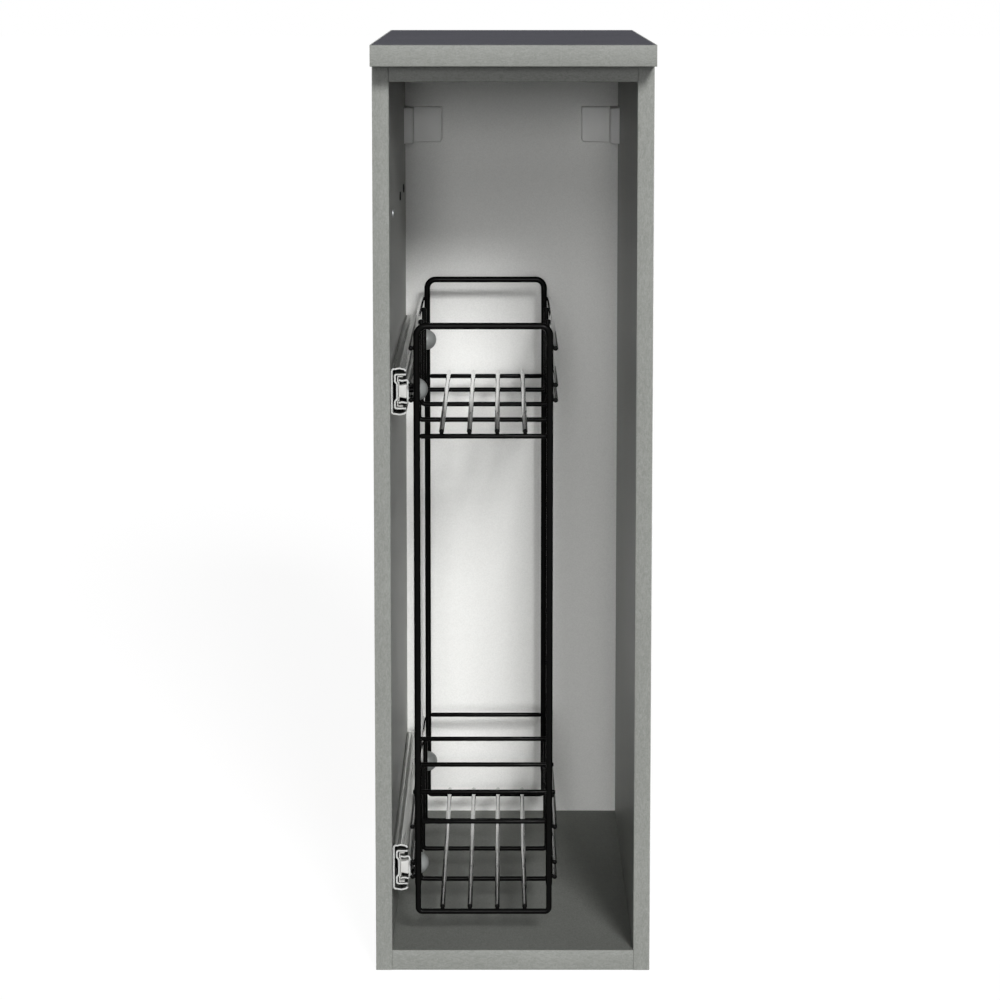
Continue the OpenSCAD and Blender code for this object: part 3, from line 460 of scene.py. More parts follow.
# %% From a grid of points to faces
def shell_from_grid(grid, close_rows=False, start=None, end=None):
    """Points and faces of a grid of rows by columns. Neighbouring rows and columns make squares,
    the last column joins the first, and start and end are single points that close the first and
    the last row with triangles."""
    rows, columns = grid.shape[:2]
    number = np.arange(rows * columns).reshape(rows, columns)
    below = number if close_rows else number[:-1]
    above = np.roll(number, -1, axis=0) if close_rows else number[1:]
    quads = np.stack([below, np.roll(below, -1, axis=1), np.roll(above, -1, axis=1), above], -1)
    points = [grid.reshape(-1, 3)]
    faces = [quads.reshape(-1, 4)]
    after_first, after_last = np.roll(number[0], -1), np.roll(number[-1], -1)
    for pole, here, there in ((start, after_first, number[0]), (end, number[-1], after_last)):
        if pole is not None:
            index = np.full_like(here, sum(len(group) for group in points))
            points.append(np.reshape(pole, (1, 3)))
            faces.append(np.stack([here, there, index], -1))
    return np.concatenate(points), faces


def join_shells(shells):
    """Several shells as one list of points and faces, each shell's numbers moved on by the
    number of points before it."""
    points, faces, start = [], [], 0
    for shell_points, shell_faces in shells:
        points.append(shell_points)
        faces.extend(group + start for group in shell_faces)
        start += len(shell_points)
    return np.concatenate(points), faces


trial = shell_from_grid(np.zeros((2, 3, 3)))
print("A grid of 2 rows and 3 columns gives", len(trial[1][0]), "squares")


# %% From faces to a piece that rides on a body
SHARP_EDGE = math.radians(40)
TIP_NORMAL = 0.3


def make_piece(name, shells, finish, body, stands_for=(), tips=None):
    """One mesh object in place, shaded smooth but for sharp edges. Tips is another finish for the
    faces that look along Y, such as the ends of a wire that runs along Y."""
    points, faces = join_shells(shells)
    mesh = bpy.data.meshes.new(name)
    corners = np.concatenate([group.reshape(-1) for group in faces])
    sizes = np.concatenate([np.full(len(group), group.shape[1]) for group in faces])
    mesh.vertices.add(len(points))
    mesh.vertices.foreach_set("co", points.astype(np.float32).reshape(-1))
    mesh.loops.add(len(corners))
    mesh.loops.foreach_set("vertex_index", corners.astype(np.int32))
    mesh.polygons.add(len(sizes))
    starts = np.concatenate([[0], np.cumsum(sizes)[:-1]])
    mesh.polygons.foreach_set("loop_start", starts.astype(np.int32))
    mesh.update(calc_edges=True)
    mesh.validate()
    mesh.shade_smooth()
    mesh.set_sharp_from_angle(angle=SHARP_EDGE)
    mesh.materials.append(finish)
    if tips:
        mesh.materials.append(tips)
        normals = np.empty(3 * len(mesh.polygons), np.float32)
        mesh.polygons.foreach_get("normal", normals)
        at_tip = np.abs(normals.reshape(-1, 3)[:, 1]) > TIP_NORMAL
        mesh.polygons.foreach_set("material_index", at_tip.astype(np.int32))
    piece = bpy.data.objects.new(name, mesh)
    scene.collection.objects.link(piece)
    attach(piece, body)
    if stands_for:
        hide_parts(*stands_for)
    print(name, "has", len(mesh.polygons), "faces")


# %% [markdown]
# ## Wire
#
# The rack is bent from round wire and welded. A curve with a round bevel would end in flat discs,
# and it would need a second curve for the thinner foot. So a wire is a circle carried along its
# middle line. All the bends lie in one upright plane, so the plane's own direction serves as one
# side of every circle, and nothing twists. The coating rounds the cut ends, so the last rings
# shrink there.


# %% A wire along a path
WIRE_SIDES = 20
END_STEPS = 4
END_BULGE = 0.55


def unit(vectors):
    """Each vector divided by its length."""
    return vectors / np.linalg.norm(vectors, axis=-1, keepdims=True)


def wire(path, diameter, plane, closed=False):
    """A round wire. Ring i lies round path[i]: its points are path[i] + r (cos a * plane +
    sin a * up), where up is square to the plane's direction and to the way ahead. A closed wire
    may have a diameter for each point. At an open end the rings shrink from r to r - q and move
    out by q, like a quarter of a small ring's bulge."""
    path = np.asarray(path, float)
    if closed:
        ahead = unit(np.roll(path, -1, axis=0) - np.roll(path, 1, axis=0))
        radii = np.broadcast_to(np.asarray(diameter, float) / 2, len(path))
    else:
        radius = diameter / 2
        bulge = END_BULGE * radius
        turn = np.linspace(0.0, math.pi / 2, END_STEPS)
        first, last = unit(path[1] - path[0]), unit(path[-1] - path[-2])
        out = bulge * (1 - np.sin(turn))
        narrow = radius - bulge * (1 - np.cos(turn))
        start_rings = path[0] + out[::-1, None] * first
        end_rings = path[-1] - out[:, None] * last
        path = np.concatenate([start_rings, path[1:-1], end_rings])
        radii = np.concatenate([narrow[::-1], np.full(len(path) - 2 * END_STEPS, radius), narrow])
        ahead = unit(np.gradient(path, axis=0))
        ahead[:END_STEPS], ahead[-END_STEPS:] = first, last
    angle = np.linspace(0.0, 2 * math.pi, WIRE_SIDES, endpoint=False)
    side = np.broadcast_to(np.asarray(plane, float), ahead.shape)
    up = unit(np.cross(ahead, side))
    ring = (np.cos(angle)[None, :, None] * side[:, None, :]
            + np.sin(angle)[None, :, None] * up[:, None, :])
    grid = path[:, None, :] + radii[:, None, None] * ring
    if closed:
        return shell_from_grid(grid, close_rows=True)
    return shell_from_grid(grid, start=path[0], end=path[-1])


def bend(centre, radius, start, end, steps=10):
    """Points of a bend in the XZ plane: centre + radius (cos a, 0, sin a), angles in degrees."""
    angle = np.radians(np.linspace(start, end, steps))
    return np.asarray(centre) + radius * np.stack(
        [np.cos(angle), np.zeros_like(angle), np.sin(angle)], -1)


# %% Sizes of the rack, as the CAD source has them
RACK_MID_X = -21.4 * MM
STATIONS = np.array([-190.0, -94.0, 2.0, 98.0, 194.0]) * MM
FRAME_WIRE, FOOT_WIRE, THIN_WIRE = 4.8 * MM, 4.1 * MM, 3.6 * MM
WELD = 0.1 * MM
HALF_FRAME = 48.0 * MM
HALF_CROSS = 48.6 * MM
HALF_RAIL = 52.1 * MM
RACK_LOW_Z, RACK_HIGH_Z = 39.0 * MM, 471.0 * MM
TAPER_LOW_Z, TAPER_HIGH_Z = 57.9 * MM, 60.9 * MM
FRAME_BEND, FOOT_BEND, CROSS_BEND = 7.0 * MM, 3.0 * MM, 3.0 * MM
RUNNER_Z = {"lower": 71.2 * MM, "upper": 423.2 * MM}
FLOOR_Z = {"lower": 39.25 * MM, "upper": 391.25 * MM}
RAIL_RISES = np.array([-5.5, 5.5, 32.0]) * MM
FLOOR_PITCH = 20.1 * MM
FLOOR_ROWS = np.array([-1.5, -0.5, 0.5, 1.5]) * FLOOR_PITCH
RAIL_REACH = FRAME_WIRE / 2 + 1.0 * MM
FLOOR_REACH = 1.0 * MM
X, Y, Z = np.eye(3)
rack_low, rack_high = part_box("rack_front_frame")
print("The front frame's box in the CAD:", rack_low, rack_high)


# %% The two frames: closed upright loops, drawn thinner at the foot
def frame_loop(y):
    """Four bends and, on each side, the two points where the wire grows thinner."""
    x0, x1 = RACK_MID_X - HALF_FRAME, RACK_MID_X + HALF_FRAME
    r, foot = FRAME_BEND, FOOT_BEND
    top = [bend((x1 - r, y, RACK_HIGH_Z - r), r, 0, 90),
           bend((x0 + r, y, RACK_HIGH_Z - r), r, 90, 180), [[x0, y, TAPER_HIGH_Z]]]
    low = [[[x0, y, TAPER_LOW_Z]], bend((x0 + foot, y, RACK_LOW_Z + foot), foot, 180, 270),
           bend((x1 - foot, y, RACK_LOW_Z + foot), foot, 270, 360), [[x1, y, TAPER_LOW_Z]]]
    path = np.concatenate(top + low + [[[x1, y, TAPER_HIGH_Z]]])
    thin = path[:, 2] <= TAPER_LOW_Z
    return wire(path, np.where(thin, FOOT_WIRE, FRAME_WIRE), Y, closed=True)


for node_name, y in (("rack_front_frame", STATIONS[0]), ("rack_rear_frame", STATIONS[4])):
    make_piece(node_name + "_wire", [frame_loop(y)], black_coating, "rack",
               [node_name])


# %% Cross wires: a floor length with both ends bent up to the top rails
def cross_wire(y, tier):
    """It ends level with the top of the uppermost rails."""
    x0, x1 = RACK_MID_X - HALF_CROSS, RACK_MID_X + HALF_CROSS
    r = CROSS_BEND
    low, high = FLOOR_Z[tier], RUNNER_Z[tier] + RAIL_RISES[2] + THIN_WIRE / 2
    path = np.concatenate([
        [[x0, y, high]], bend((x0 + r, y, low + r), r, 180, 270),
        bend((x1 - r, y, low + r), r, 270, 360), [[x1, y, high]]])
    return wire(path, THIN_WIRE, Y)


def straight(start, end, diameter=THIN_WIRE):
    """A straight wire. Its circles need some direction square to it: X, or Y for a wire along X."""
    start, end = np.asarray(start, float), np.asarray(end, float)
    side = Y if abs(end[0] - start[0]) > abs(end[1] - start[1]) else X
    return wire([start, (start + end) / 2, end], diameter, side)


def lengthwise(x, z, reach):
    """A wire from front to back that stands out past the two frames' middles by its reach."""
    return straight((x, STATIONS[0] - reach, z), (x, STATIONS[4] + reach, z))


for tier in ("upper", "lower"):
    make_piece(f"{tier}_cross_wire_set", [cross_wire(y, tier) for y in STATIONS[1:4]],
               black_coating, "rack", [f"{tier}_cross_wires"])

    floor_z = FLOOR_Z[tier] + THIN_WIRE - WELD
    make_piece(f"{tier}_floor_wire_set",
               [lengthwise(RACK_MID_X + row, floor_z, FLOOR_REACH) for row in FLOOR_ROWS],
               polished_coating, "rack", [f"{tier}_floor_wires"], black_coating)

    for side_name, side in (("left", -1), ("right", 1)):
        rail_x = RACK_MID_X + side * HALF_RAIL
        make_piece(f"{tier}_{side_name}_rail_set",
                   [lengthwise(rail_x, RUNNER_Z[tier] + rise, RAIL_REACH) for rise in RAIL_RISES],
                   polished_coating, "rack", [f"{tier}_{side_name}_rails"],
                   black_coating)


# %% Bars: the bottle dividers over the lower tier and the two bars under the upper floor
def bar(y, z, half):
    """A thin wire along X, reaching as far to the left as to the right of the rack's middle."""
    return straight((RACK_MID_X - half, y, z), (RACK_MID_X + half, y, z))


BETWEEN_UPRIGHTS = HALF_FRAME - FRAME_WIRE / 2 + WELD
OVER_RAILS = HALF_RAIL + THIN_WIRE / 2
DIVIDER_Z = RUNNER_Z["lower"] + RAIL_RISES[2] + THIN_WIRE - WELD
make_piece("bottle_divider_bar_set",
           [bar(y, DIVIDER_Z, BETWEEN_UPRIGHTS) for y in STATIONS[[0, 4]]]
           + [bar(y, DIVIDER_Z, OVER_RAILS) for y in STATIONS[1:4]],
           black_coating, "rack", ["bottle_divider_bars"])
make_piece("upper_end_bar_set",
           [bar(y, FLOOR_Z["upper"], BETWEEN_UPRIGHTS) for y in STATIONS[[0, 4]]],
           black_coating, "rack", ["upper_end_bars"])

# %% [markdown]
# ## Welds
#
# Resistance welding squeezes a little steel out where two wires cross, and the coating gathers
# round it. Each weld is a small egg between the two wires. They repeat more than a hundred times,
# so each has few faces, and one set of arrays makes them all.


# %% Small eggs at the crossings
WELD_WIDE, WELD_FLAT = 1.5 * MM, 0.9 * MM


def eggs(centres, radii, rings=5, sides=10):
    """Closed egg shapes: centre + (rx cos p cos a, ry cos p sin a, rz sin p), with a turning
    about Z and p rising from the lower pole to the upper one."""
    centres, radii = np.asarray(centres, float), np.asarray(radii, float)
    tilt = np.linspace(-math.pi / 2, math.pi / 2, rings + 2)[1:-1]
    turn = np.linspace(0.0, 2 * math.pi, sides, endpoint=False)
    ball = np.stack([np.cos(tilt)[:, None] * np.cos(turn), np.cos(tilt)[:, None] * np.sin(turn),
                     np.broadcast_to(np.sin(tilt)[:, None], (rings, sides))], -1)
    return [shell_from_grid(c + r * ball, start=c - r * Z, end=c + r * Z)
            for c, r in zip(centres, radii)]


def crossings():
    """Places and radii of the contacts: floor wires on cross wires, rails on upright wires."""
    spots, sizes = [], []
    for tier in ("lower", "upper"):
        contact = FLOOR_Z[tier] + THIN_WIRE / 2
        xs, ys = np.meshgrid(RACK_MID_X + FLOOR_ROWS, STATIONS)
        spots.append(np.stack([xs, ys, np.full_like(xs, contact)], -1).reshape(-1, 3))
        sizes.append(np.tile([WELD_WIDE, WELD_WIDE, WELD_FLAT], (xs.size, 1)))
        for side in (-1, 1):
            x = RACK_MID_X + side * (HALF_RAIL - THIN_WIRE / 2)
            ys, zs = np.meshgrid(STATIONS, RUNNER_Z[tier] + RAIL_RISES)
            spots.append(np.stack([np.full_like(ys, x), ys, zs], -1).reshape(-1, 3))
            sizes.append(np.tile([WELD_FLAT, WELD_WIDE, WELD_WIDE], (ys.size, 1)))
    return np.concatenate(spots), np.concatenate(sizes)


weld_spots, weld_sizes = crossings()
make_piece("rack_welds", eggs(weld_spots, weld_sizes), black_coating, "rack")
print("Welds:", len(weld_spots))

# %% [markdown]
# ## Turned shapes
#
# Clamp domes, screw shanks and the hole plug are round about an axis along X, so each is an
# outline turned about it: along gives how far a ring stands out, and across its radius. Stretched
# balls and stacked cylinders would come close, but they would show seams where they meet.


# %% An outline turned about an axis along X
def turned(centre, along, across, sides=40):
    """Ring i is a circle of radius across[i], along[i] out from the centre along +X."""
    centre = np.asarray(centre, float)
    angle = np.linspace(0.0, 2 * math.pi, sides, endpoint=False)
    circle = np.stack([np.zeros(sides), np.cos(angle), np.sin(angle)], -1)
    along, across = np.asarray(along, float), np.asarray(across, float)
    grid = centre + along[:, None, None] * X + across[:, None, None] * circle
    return shell_from_grid(grid, start=centre + along[0] * X, end=centre + along[-1] * X)


# %% The clamps' domes: a round cap on a low rim with an eased foot
DOME_RADIUS, DOME_HIGH, DOME_RIM = 8.3 * MM, 10.0 * MM, 1.6 * MM
DOME_EDGE, DOME_TIP = 0.25 * MM, 0.35 * MM
DOME_BASE_X = -71.7 * MM
CLAMP_INSET = 18.0 * MM
CLAMP_YS = (STATIONS[0] + CLAMP_INSET, STATIONS[4] - CLAMP_INSET)


def dome(y, z):
    """The cap is a quarter of an ellipse, upright at the rim: along = rim + (high - rim) sin a,
    across = radius cos a. The foot under it is eased by one small step."""
    turn = np.linspace(0.0, math.pi / 2, 14)[:-1]
    along = np.concatenate([[0.0, DOME_EDGE], DOME_RIM + (DOME_HIGH - DOME_RIM) * np.sin(turn)])
    across = np.concatenate([[DOME_RADIUS - DOME_EDGE, DOME_RADIUS], DOME_RADIUS * np.cos(turn)])
    along = np.append(along, DOME_HIGH)
    across = np.append(across, DOME_TIP)
    return turned((DOME_BASE_X, y, z), along, across)


make_piece("clamp_dome_set", [dome(y, z) for z in RUNNER_Z.values() for y in CLAMP_YS],
           clamp_plastic, "rack", ["clamp_domes"])

# %% [markdown]
# ## Screw heads with a cross recess
#
# A pan head is a low dome, and its recess is a cross pressed into it. Cutting the cross out would
# leave sharp edges, and pressing leaves soft ones. So on a fine polar grid each point is lowered
# where it lies in one of the two arms, with a slope at the arms' walls.

# %% Heads of the runners' wall screws
HEAD_RADIUS, HEAD_HIGH = 3.75 * MM, 1.6 * MM
HEAD_FALL, RECESS_DEEP = 0.75, 0.7
ARM_HALF, ARM_REACH, SMALLEST_RING = 0.16, 0.62, 0.04
SHANK_LONG, SHANK_POINT, SHANK_RADIUS, SHANK_TIP = 9.5 * MM, 2.0 * MM, 1.75 * MM, 0.2 * MM
WALL_FACE_X = -88.0 * MM
SHEET = 1.2 * MM
RUNNER_FRONT_Y = -186.0 * MM
WALL_SCREW_DEPTHS = np.array([13.0, 237.0, 365.0]) * MM


def recessed_head(centre, radius, high, sides=64, rings=18):
    """Height over the head: high * (1 - fall * (r / radius)^4), less deep * high inside the
    cross. An arm's half width, its reach and the smallest ring are given in the head's radii."""
    centre = np.asarray(centre, float)
    r = np.linspace(radius, radius * SMALLEST_RING, rings)
    a = np.linspace(0.0, 2 * math.pi, sides, endpoint=False)
    rr, aa = np.meshgrid(r, a, indexing="ij")
    y, z = rr * np.cos(aa), rr * np.sin(aa)
    arm = np.minimum(np.abs(y), np.abs(z)) / (ARM_HALF * radius)
    reach = rr / (ARM_REACH * radius)
    inside = np.clip(1.6 - np.maximum(arm, reach) ** 3, 0.0, 1.0)
    out = high * (1 - HEAD_FALL * (rr / radius) ** 4) - RECESS_DEEP * high * inside
    grid = centre + np.stack([out, y, z], -1)
    skirt = centre + np.stack([np.zeros(sides), radius * np.cos(a), radius * np.sin(a)], -1)
    grid = np.concatenate([skirt[None], grid])
    middle = centre + (1 - RECESS_DEEP) * high * X
    return shell_from_grid(grid, start=centre, end=middle)


def wall_screw(y, z):
    """A head on the outer member's sheet, and a pointed shank in the side panel."""
    shank = turned((WALL_FACE_X - SHANK_LONG, y, z), [0.0, SHANK_POINT, SHANK_LONG],
                   [SHANK_TIP, SHANK_RADIUS, SHANK_RADIUS], sides=16)
    return [recessed_head((WALL_FACE_X + SHEET, y, z), HEAD_RADIUS, HEAD_HIGH), shank]


make_piece("runner_wall_screw_set",
           [shell for z in RUNNER_Z.values() for depth in WALL_SCREW_DEPTHS
            for shell in wall_screw(RUNNER_FRONT_Y + depth, z)],
           black_coating, "cabinet", ["runner_wall_screws"])

# %% The bright plug in the first hole of the row: a pin in the panel and a low soft head
HOLE_ROW_Z = 548.0 * MM
PLUG_PLACE = (WALL_FACE_X, -130.0 * MM, HOLE_ROW_Z)
PIN_LONG, PIN_POINT, PIN_RADIUS, PIN_END = 7.5, 0.5, 2.45, 2.0
PLUG_RADIUS, PLUG_RIM, PLUG_RISE, PLUG_TIP = 3.2, 0.4, 0.8, 0.02


def plug():
    """In millimetres: the pin's pointed end, its shoulder under the head, the rim and a cap that
    falls off slowly, across = radius * (cos a)^0.6."""
    turn = np.linspace(0.0, math.pi / 2, 9)[1:]
    along = np.concatenate([[-PIN_LONG, PIN_POINT - PIN_LONG, 0.0, 0.0, PLUG_RIM],
                            PLUG_RIM + PLUG_RISE * np.sin(turn)])
    across = np.concatenate([[PIN_END, PIN_RADIUS, PIN_RADIUS, PLUG_RADIUS, PLUG_RADIUS],
                             PLUG_RADIUS * np.cos(turn) ** 0.6 + PLUG_TIP])
    return turned(PLUG_PLACE, along * MM, across * MM)


make_piece("hole_plug_turned", [plug()], cast_zinc, "cabinet", ["hole_plug"])

# %% Sleeves for shelf pins in two more holes of the row; their near-black colour is painted shade, since these holes lie in shade
SLEEVE_YS = (62.0 * MM, 158.0 * MM)
SLEEVE_DEEP, SLEEVE_RADIUS, BORE_RADIUS = 9.0, 3.0, 2.5
COLLAR_RADIUS, COLLAR_OUT, COLLAR_SOFT, BORE_SOFT = 3.5, 1.0, 0.4, 0.2


def sleeve(y):
    """A tube turned about X, its outline in millimetres. It runs along the outside, round the
    collar's soft edge and back along the bore, so the rows close into a ring."""
    soft = np.linspace(0.0, math.pi / 2, 5)
    along = np.concatenate([
        [-SLEEVE_DEEP, 0.0, 0.0], COLLAR_OUT - COLLAR_SOFT + COLLAR_SOFT * np.sin(soft),
        [COLLAR_OUT, COLLAR_OUT - BORE_SOFT, -SLEEVE_DEEP]]) * MM
    across = np.concatenate([
        [SLEEVE_RADIUS, SLEEVE_RADIUS, COLLAR_RADIUS],
        COLLAR_RADIUS - COLLAR_SOFT + COLLAR_SOFT * np.cos(soft),
        [BORE_RADIUS + BORE_SOFT, BORE_RADIUS, BORE_RADIUS]]) * MM
    angle = np.linspace(0.0, 2 * math.pi, 32, endpoint=False)
    grid = np.stack(np.broadcast_arrays(along[:, None], across[:, None] * np.cos(angle),
                                        across[:, None] * np.sin(angle)), -1)
    return shell_from_grid(np.array([WALL_FACE_X, y, HOLE_ROW_Z]) + grid, close_rows=True)


make_piece("painted_shade_sleeve_set", [sleeve(y) for y in SLEEVE_YS], cage_plastic, "cabinet",
           ["hole_sleeves"])

# %% [markdown]
# ## Soft-edged blocks
#
# Edge strips, hanger covers and front stops are flat shapes with a rounded outline, pushed through
# a length, with their end edges eased. A bevel would treat all edges alike, but here some are soft
# and others meet a board and stay square. So each is a stack of outlines: near the ends the
# outline moves in by the easing, as on a quarter circle.


# %% A rounded outline pushed through a length
def outline(width, height, radii, inset=0.0, steps=5):
    """A rectangle from 0 to width and 0 to height. Its corners, from the low left one round by
    the low right one, have these radii, and each is centre + (radius - inset) (cos a, sin a), so
    an inset moves every side in by that much."""
    corners = ((0.0, 0.0, 180), (width, 0.0, 270), (width, height, 0), (0.0, height, 90))
    points = []
    for (u, v, first), radius in zip(corners, radii):
        centre = np.array([u + (-radius if u else radius), v + (-radius if v else radius)])
        angle = np.radians(np.linspace(first, first + 90, steps))
        arc = np.stack([np.cos(angle), np.sin(angle)], -1)
        points.append(centre + max(radius - inset, 1e-6) * arc)
    return np.concatenate(points)


def soft_block(corner, across, up, through, width, height, length, radii, easing):
    """Outlines in the plane of across and up, stacked along through: corner + u * across +
    v * up + w * through. The easing is the radius of the edges at the start and at the end of the
    stack, 0 for a square end. At the start w = easing * (1 - cos a) where the outline's inset is
    easing * (1 - sin a), and the end mirrors it."""
    turn = np.linspace(0.0, math.pi / 2, 5)
    start, end = (radius * (1 - np.stack([np.cos(turn), np.sin(turn)], -1)) if radius
                  else np.zeros((1, 2)) for radius in easing)
    levels = np.concatenate([start, (length, 0.0) - end[::-1] * (1, -1)])
    flat = np.array([outline(width, height, radii, inset) for inset in levels[:, 1]])
    across, up, through = (np.asarray(v, float) for v in (across, up, through))
    if np.dot(np.cross(across, up), through) < 0:
        flat = flat[:, ::-1]
    grid = (np.asarray(corner) + flat[..., :1] * across + flat[..., 1:] * up
            + levels[:, None, :1] * through)
    return shell_from_grid(grid, start=grid[0].mean(0), end=grid[-1].mean(0))


# %% Edge strips with eased front edges
ARRIS = 0.7 * MM
SQUARE = 0.02 * MM


def strip(node_name, length_axis):
    """The strip fills its CAD box. The two edges that look forward are rounded."""
    low, high = (np.array(v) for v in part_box(node_name))
    wide, deep, tall = high - low
    radii = (ARRIS, ARRIS, SQUARE, SQUARE)
    if length_axis == "z":
        return soft_block(low, X, Y, Z, wide, deep, tall, radii, (0.0, 0.0))
    return soft_block(low, Z, Y, X, tall, deep, wide, radii, (0.0, 0.0))


STRIPS = {"left_edge_strip": "z", "right_edge_strip": "z", "bottom_edge_strip": "x",
          "front_rail_edge_strip": "x", "top_front_edge_strip": "x"}
for node_name, axis in STRIPS.items():
    make_piece(node_name + "_eased", [strip(node_name, axis)],
               upright_strip if axis == "z" else cross_strip, "cabinet", [node_name])

# %% Hanger covers: an arm along the side panel and a box along the back panel
COVER_LOW_Z, COVER_HIGH = 582.0 * MM, 29.0 * MM
COVER_ARM, COVER_ARM_T = 42.0 * MM, 7.6 * MM
COVER_BOX_W, COVER_BOX_T = 30.5 * MM, 12.0 * MM
BACK_FACE_Y = 236.0 * MM
COVER_SOFT, COVER_ROUND = 1.0 * MM, 3.0 * MM


def hanger_cover(side):
    """Side is -1 for the left and 1 for the right. Both blocks start at the corner of the side
    panel and the back panel; the box's lower inner corner has a wide round."""
    corner = (-side * WALL_FACE_X, BACK_FACE_Y, COVER_LOW_Z)
    arm = soft_block(corner, -side * X, Z, -Y, COVER_ARM_T, COVER_HIGH, COVER_ARM,
                     (SQUARE, COVER_SOFT, COVER_SOFT, SQUARE), (0.0, COVER_SOFT))
    box = soft_block(corner, -side * X, Z, -Y, COVER_BOX_W, COVER_HIGH, COVER_BOX_T,
                     (SQUARE, COVER_ROUND, COVER_SOFT, SQUARE), (0.0, COVER_SOFT))
    return [arm, box]


for side_name, side in (("left", -1), ("right", 1)):
    make_piece(f"{side_name}_hanger_cover_moulded", hanger_cover(side), cover_plastic, "cabinet",
               [f"{side_name}_hanger_cover"])

# %% Front stops of the runners, on the inner members
STOP_LOW_U, STOP_HIGH_U = 5.3 * MM, 11.5 * MM
STOP_HALF, STOP_LONG = 5.2 * MM, 9.0 * MM
STOP_NARROW = 0.78
STOP_SOFT, STRAP_SOFT, STRAP_EASE = 0.8 * MM, 0.15 * MM, 0.2 * MM
STOP_STRAPS = np.array([[5.35, 3.6, 0.65, 3.5], [4.6, 6.55, 1.3, 0.5], [4.5, 6.5, 0.7, 4.6],
                        [4.55, 10.4, 4.05, 0.65]]) * MM


def front_stop(z):
    """A block whose height grows from 0.78 to 1 towards the inner member, and above and below it
    a hook of four straps that follows the middle member's inside. Each strap is (low u, low v,
    width, height), with u counted from the side panel's face and v from the runner's middle."""
    wide = STOP_HIGH_U - STOP_LOW_U
    start = np.array([WALL_FACE_X, RUNNER_FRONT_Y + STOP_LONG, z])
    points, faces = soft_block(start + (STOP_LOW_U, 0.0, -STOP_HALF), X, Z, -Y, wide,
                               2 * STOP_HALF, STOP_LONG, (STOP_SOFT,) * 4, (0.0, STOP_SOFT))
    share = (points[:, 0] - WALL_FACE_X - STOP_LOW_U) / wide
    points[:, 2] = z + (points[:, 2] - z) * (STOP_NARROW + (1 - STOP_NARROW) * share)
    hooks = []
    for u, v, strap_wide, strap_high in STOP_STRAPS:
        for v_low in (v, -v - strap_high):
            hooks.append(soft_block(start + (u, 0.0, v_low), X, Z, -Y, strap_wide, strap_high,
                                    STOP_LONG, (STRAP_SOFT,) * 4, (0.0, STRAP_EASE)))
    return [(points, faces)] + hooks


make_piece("runner_front_stop_set",
           [shell for z in RUNNER_Z.values() for shell in front_stop(z)], stop_plastic,
           "rack", ["runner_front_stops"])

# %% [markdown]
# ## Floor, background and light
#
# The photograph has a white background and a soft key light from the right of the camera, about 20
# degrees up, that reaches the left half of the back panel and leaves the right wall in shade. Two
# fills from the front light the rest: a nearly level one gets in under the top, and a higher one
# leaves the uppermost part darker. Lamps from both sides and from behind show the outside. They
# stand slightly below the horizon, so they miss the top, and the floor casts no shadow that would
# hold them back. The floor and the world are white to the eye and in reflections. To all other
# light the world is almost black and the floor a dark grey, so they hardly light the object.


# %% Lamps like far softboxes
def softbox(name, from_right, from_above, strength, spread):
    """A sun lamp, its place given in degrees to the right of the front and above the horizon.
    Strength 1 lights a facing surface to its own colour, and spread is the softbox's width in
    degrees as the object sees it."""
    data = bpy.data.lights.new(name, "SUN")
    data.energy = strength * math.pi
    data.angle = math.radians(spread)
    lamp = bpy.data.objects.new(name, data)
    lamp.rotation_euler = (math.radians(90 - from_above), 0.0, math.radians(from_right))
    scene.collection.objects.link(lamp)


softbox("key", 11.2, 22.0, 0.775, 10.8)
softbox("low_fill", -1.0, 4.0, 0.205, 10.0)
softbox("high_fill", -4.0, 18.0, 0.115, 12.0)
softbox("right_side", 93.0, -5.0, 0.80, 12.0)
softbox("left_side", -93.0, -5.0, 0.70, 12.0)
softbox("behind", 165.0, -4.0, 0.75, 14.0)


# %% A pale floor that keeps the shadow, and a white world
def seen_or_mirrored(tree):
    """1 for rays from the camera and for those a gloss or a glass sends on, 0 for all others."""
    path = add(tree, "ShaderNodeLightPath")
    either = math_of(tree, "MAXIMUM", path.outputs["Is Camera Ray"], path.outputs["Is Glossy Ray"])
    return math_of(tree, "MAXIMUM", either, path.outputs["Is Transmission Ray"])


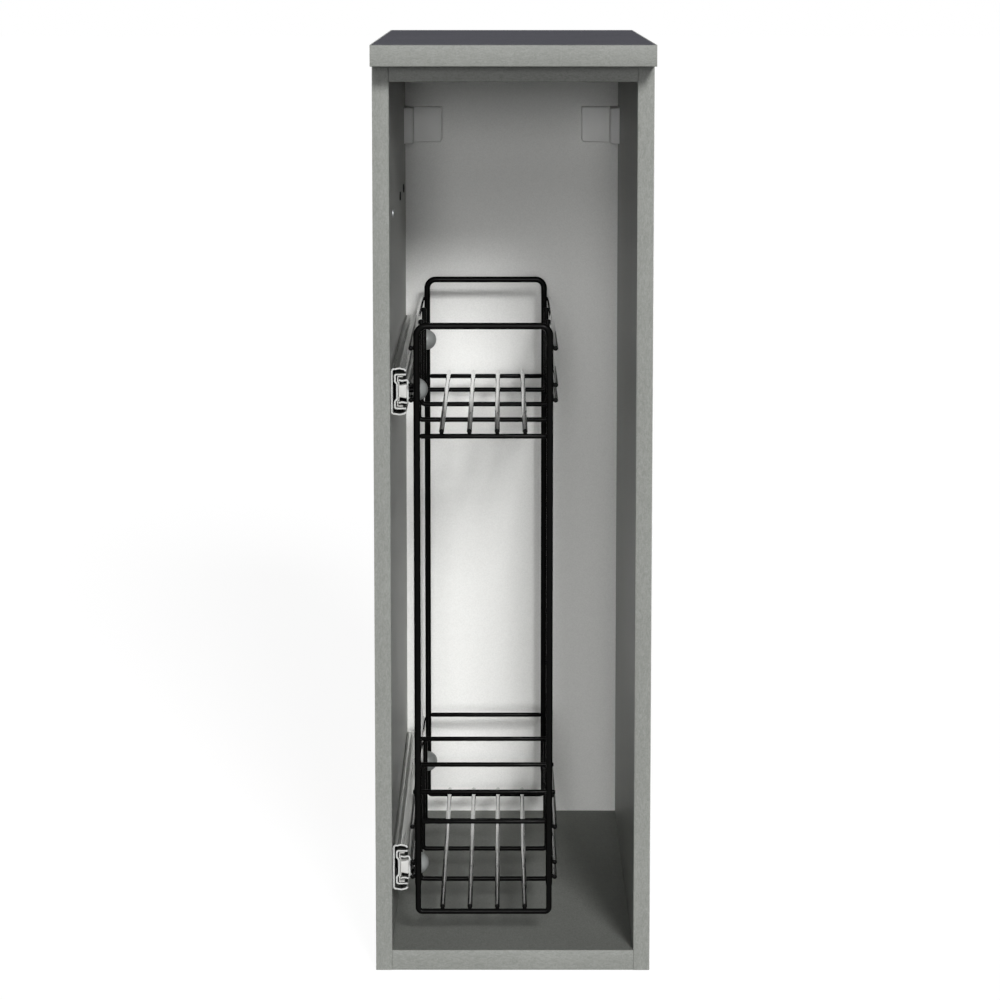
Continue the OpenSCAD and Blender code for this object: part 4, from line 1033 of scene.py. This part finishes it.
AMBIENT = 0.02
FLOOR_GLOW = 0.93
FLOOR_GREY = 0.22
world = bpy.data.worlds.new("white_studio")
world.use_nodes = True
world_tree = world.node_tree
world_tree.nodes.clear()
seen = seen_or_mirrored(world_tree)
strength = math_of(world_tree, "ADD", AMBIENT, math_of(world_tree, "MULTIPLY", seen, 1 - AMBIENT))
sky = add(world_tree, "ShaderNodeBackground", {"Color": (1.0, 1.0, 1.0, 1.0), "Strength": strength})
add(world_tree, "ShaderNodeOutputWorld", {"Surface": sky.outputs["Background"]})
scene.world = world

floor_finish = bpy.data.materials.new("pale_floor")
floor_finish.use_nodes = True
floor_tree = floor_finish.node_tree
floor_tree.nodes.clear()
floor_seen = seen_or_mirrored(floor_tree)
matt = add(floor_tree, "ShaderNodeBsdfDiffuse", {"Color": (FLOOR_GREY,) * 3 + (1.0,)})
glow = add(floor_tree, "ShaderNodeEmission", {
    "Strength": math_of(floor_tree, "MULTIPLY", floor_seen, FLOOR_GLOW)})
both = add(floor_tree, "ShaderNodeAddShader")
floor_tree.links.new(matt.outputs["BSDF"], both.inputs[0])
floor_tree.links.new(glow.outputs["Emission"], both.inputs[1])
add(floor_tree, "ShaderNodeOutputMaterial", {"Surface": both.outputs["Shader"]})

FLOOR_HALF = 30.0
GROUND_Z = -0.3 * MM
floor_mesh = bpy.data.meshes.new("floor")
floor_corners = [(x * FLOOR_HALF, y * FLOOR_HALF, GROUND_Z)
                 for x, y in ((-1, -1), (1, -1), (1, 1), (-1, 1))]
floor_mesh.from_pydata(floor_corners, [], [(0, 1, 2, 3)])
floor_mesh.materials.append(floor_finish)
floor = bpy.data.objects.new("floor", floor_mesh)
scene.collection.objects.link(floor)
floor.visible_shadow = False
print("Floor at", GROUND_Z, "m, world", world.name)

# %% Colours are shown as they are
scene.view_settings.view_transform = "Standard"
print("View transform:", scene.view_settings.view_transform)

# %% [markdown]
# ## The last update
#
# The dressed object keeps the CAD's size, and the view layer is brought up to date once more.

# %% Bring the view layer up to date
bpy.context.view_layer.update()
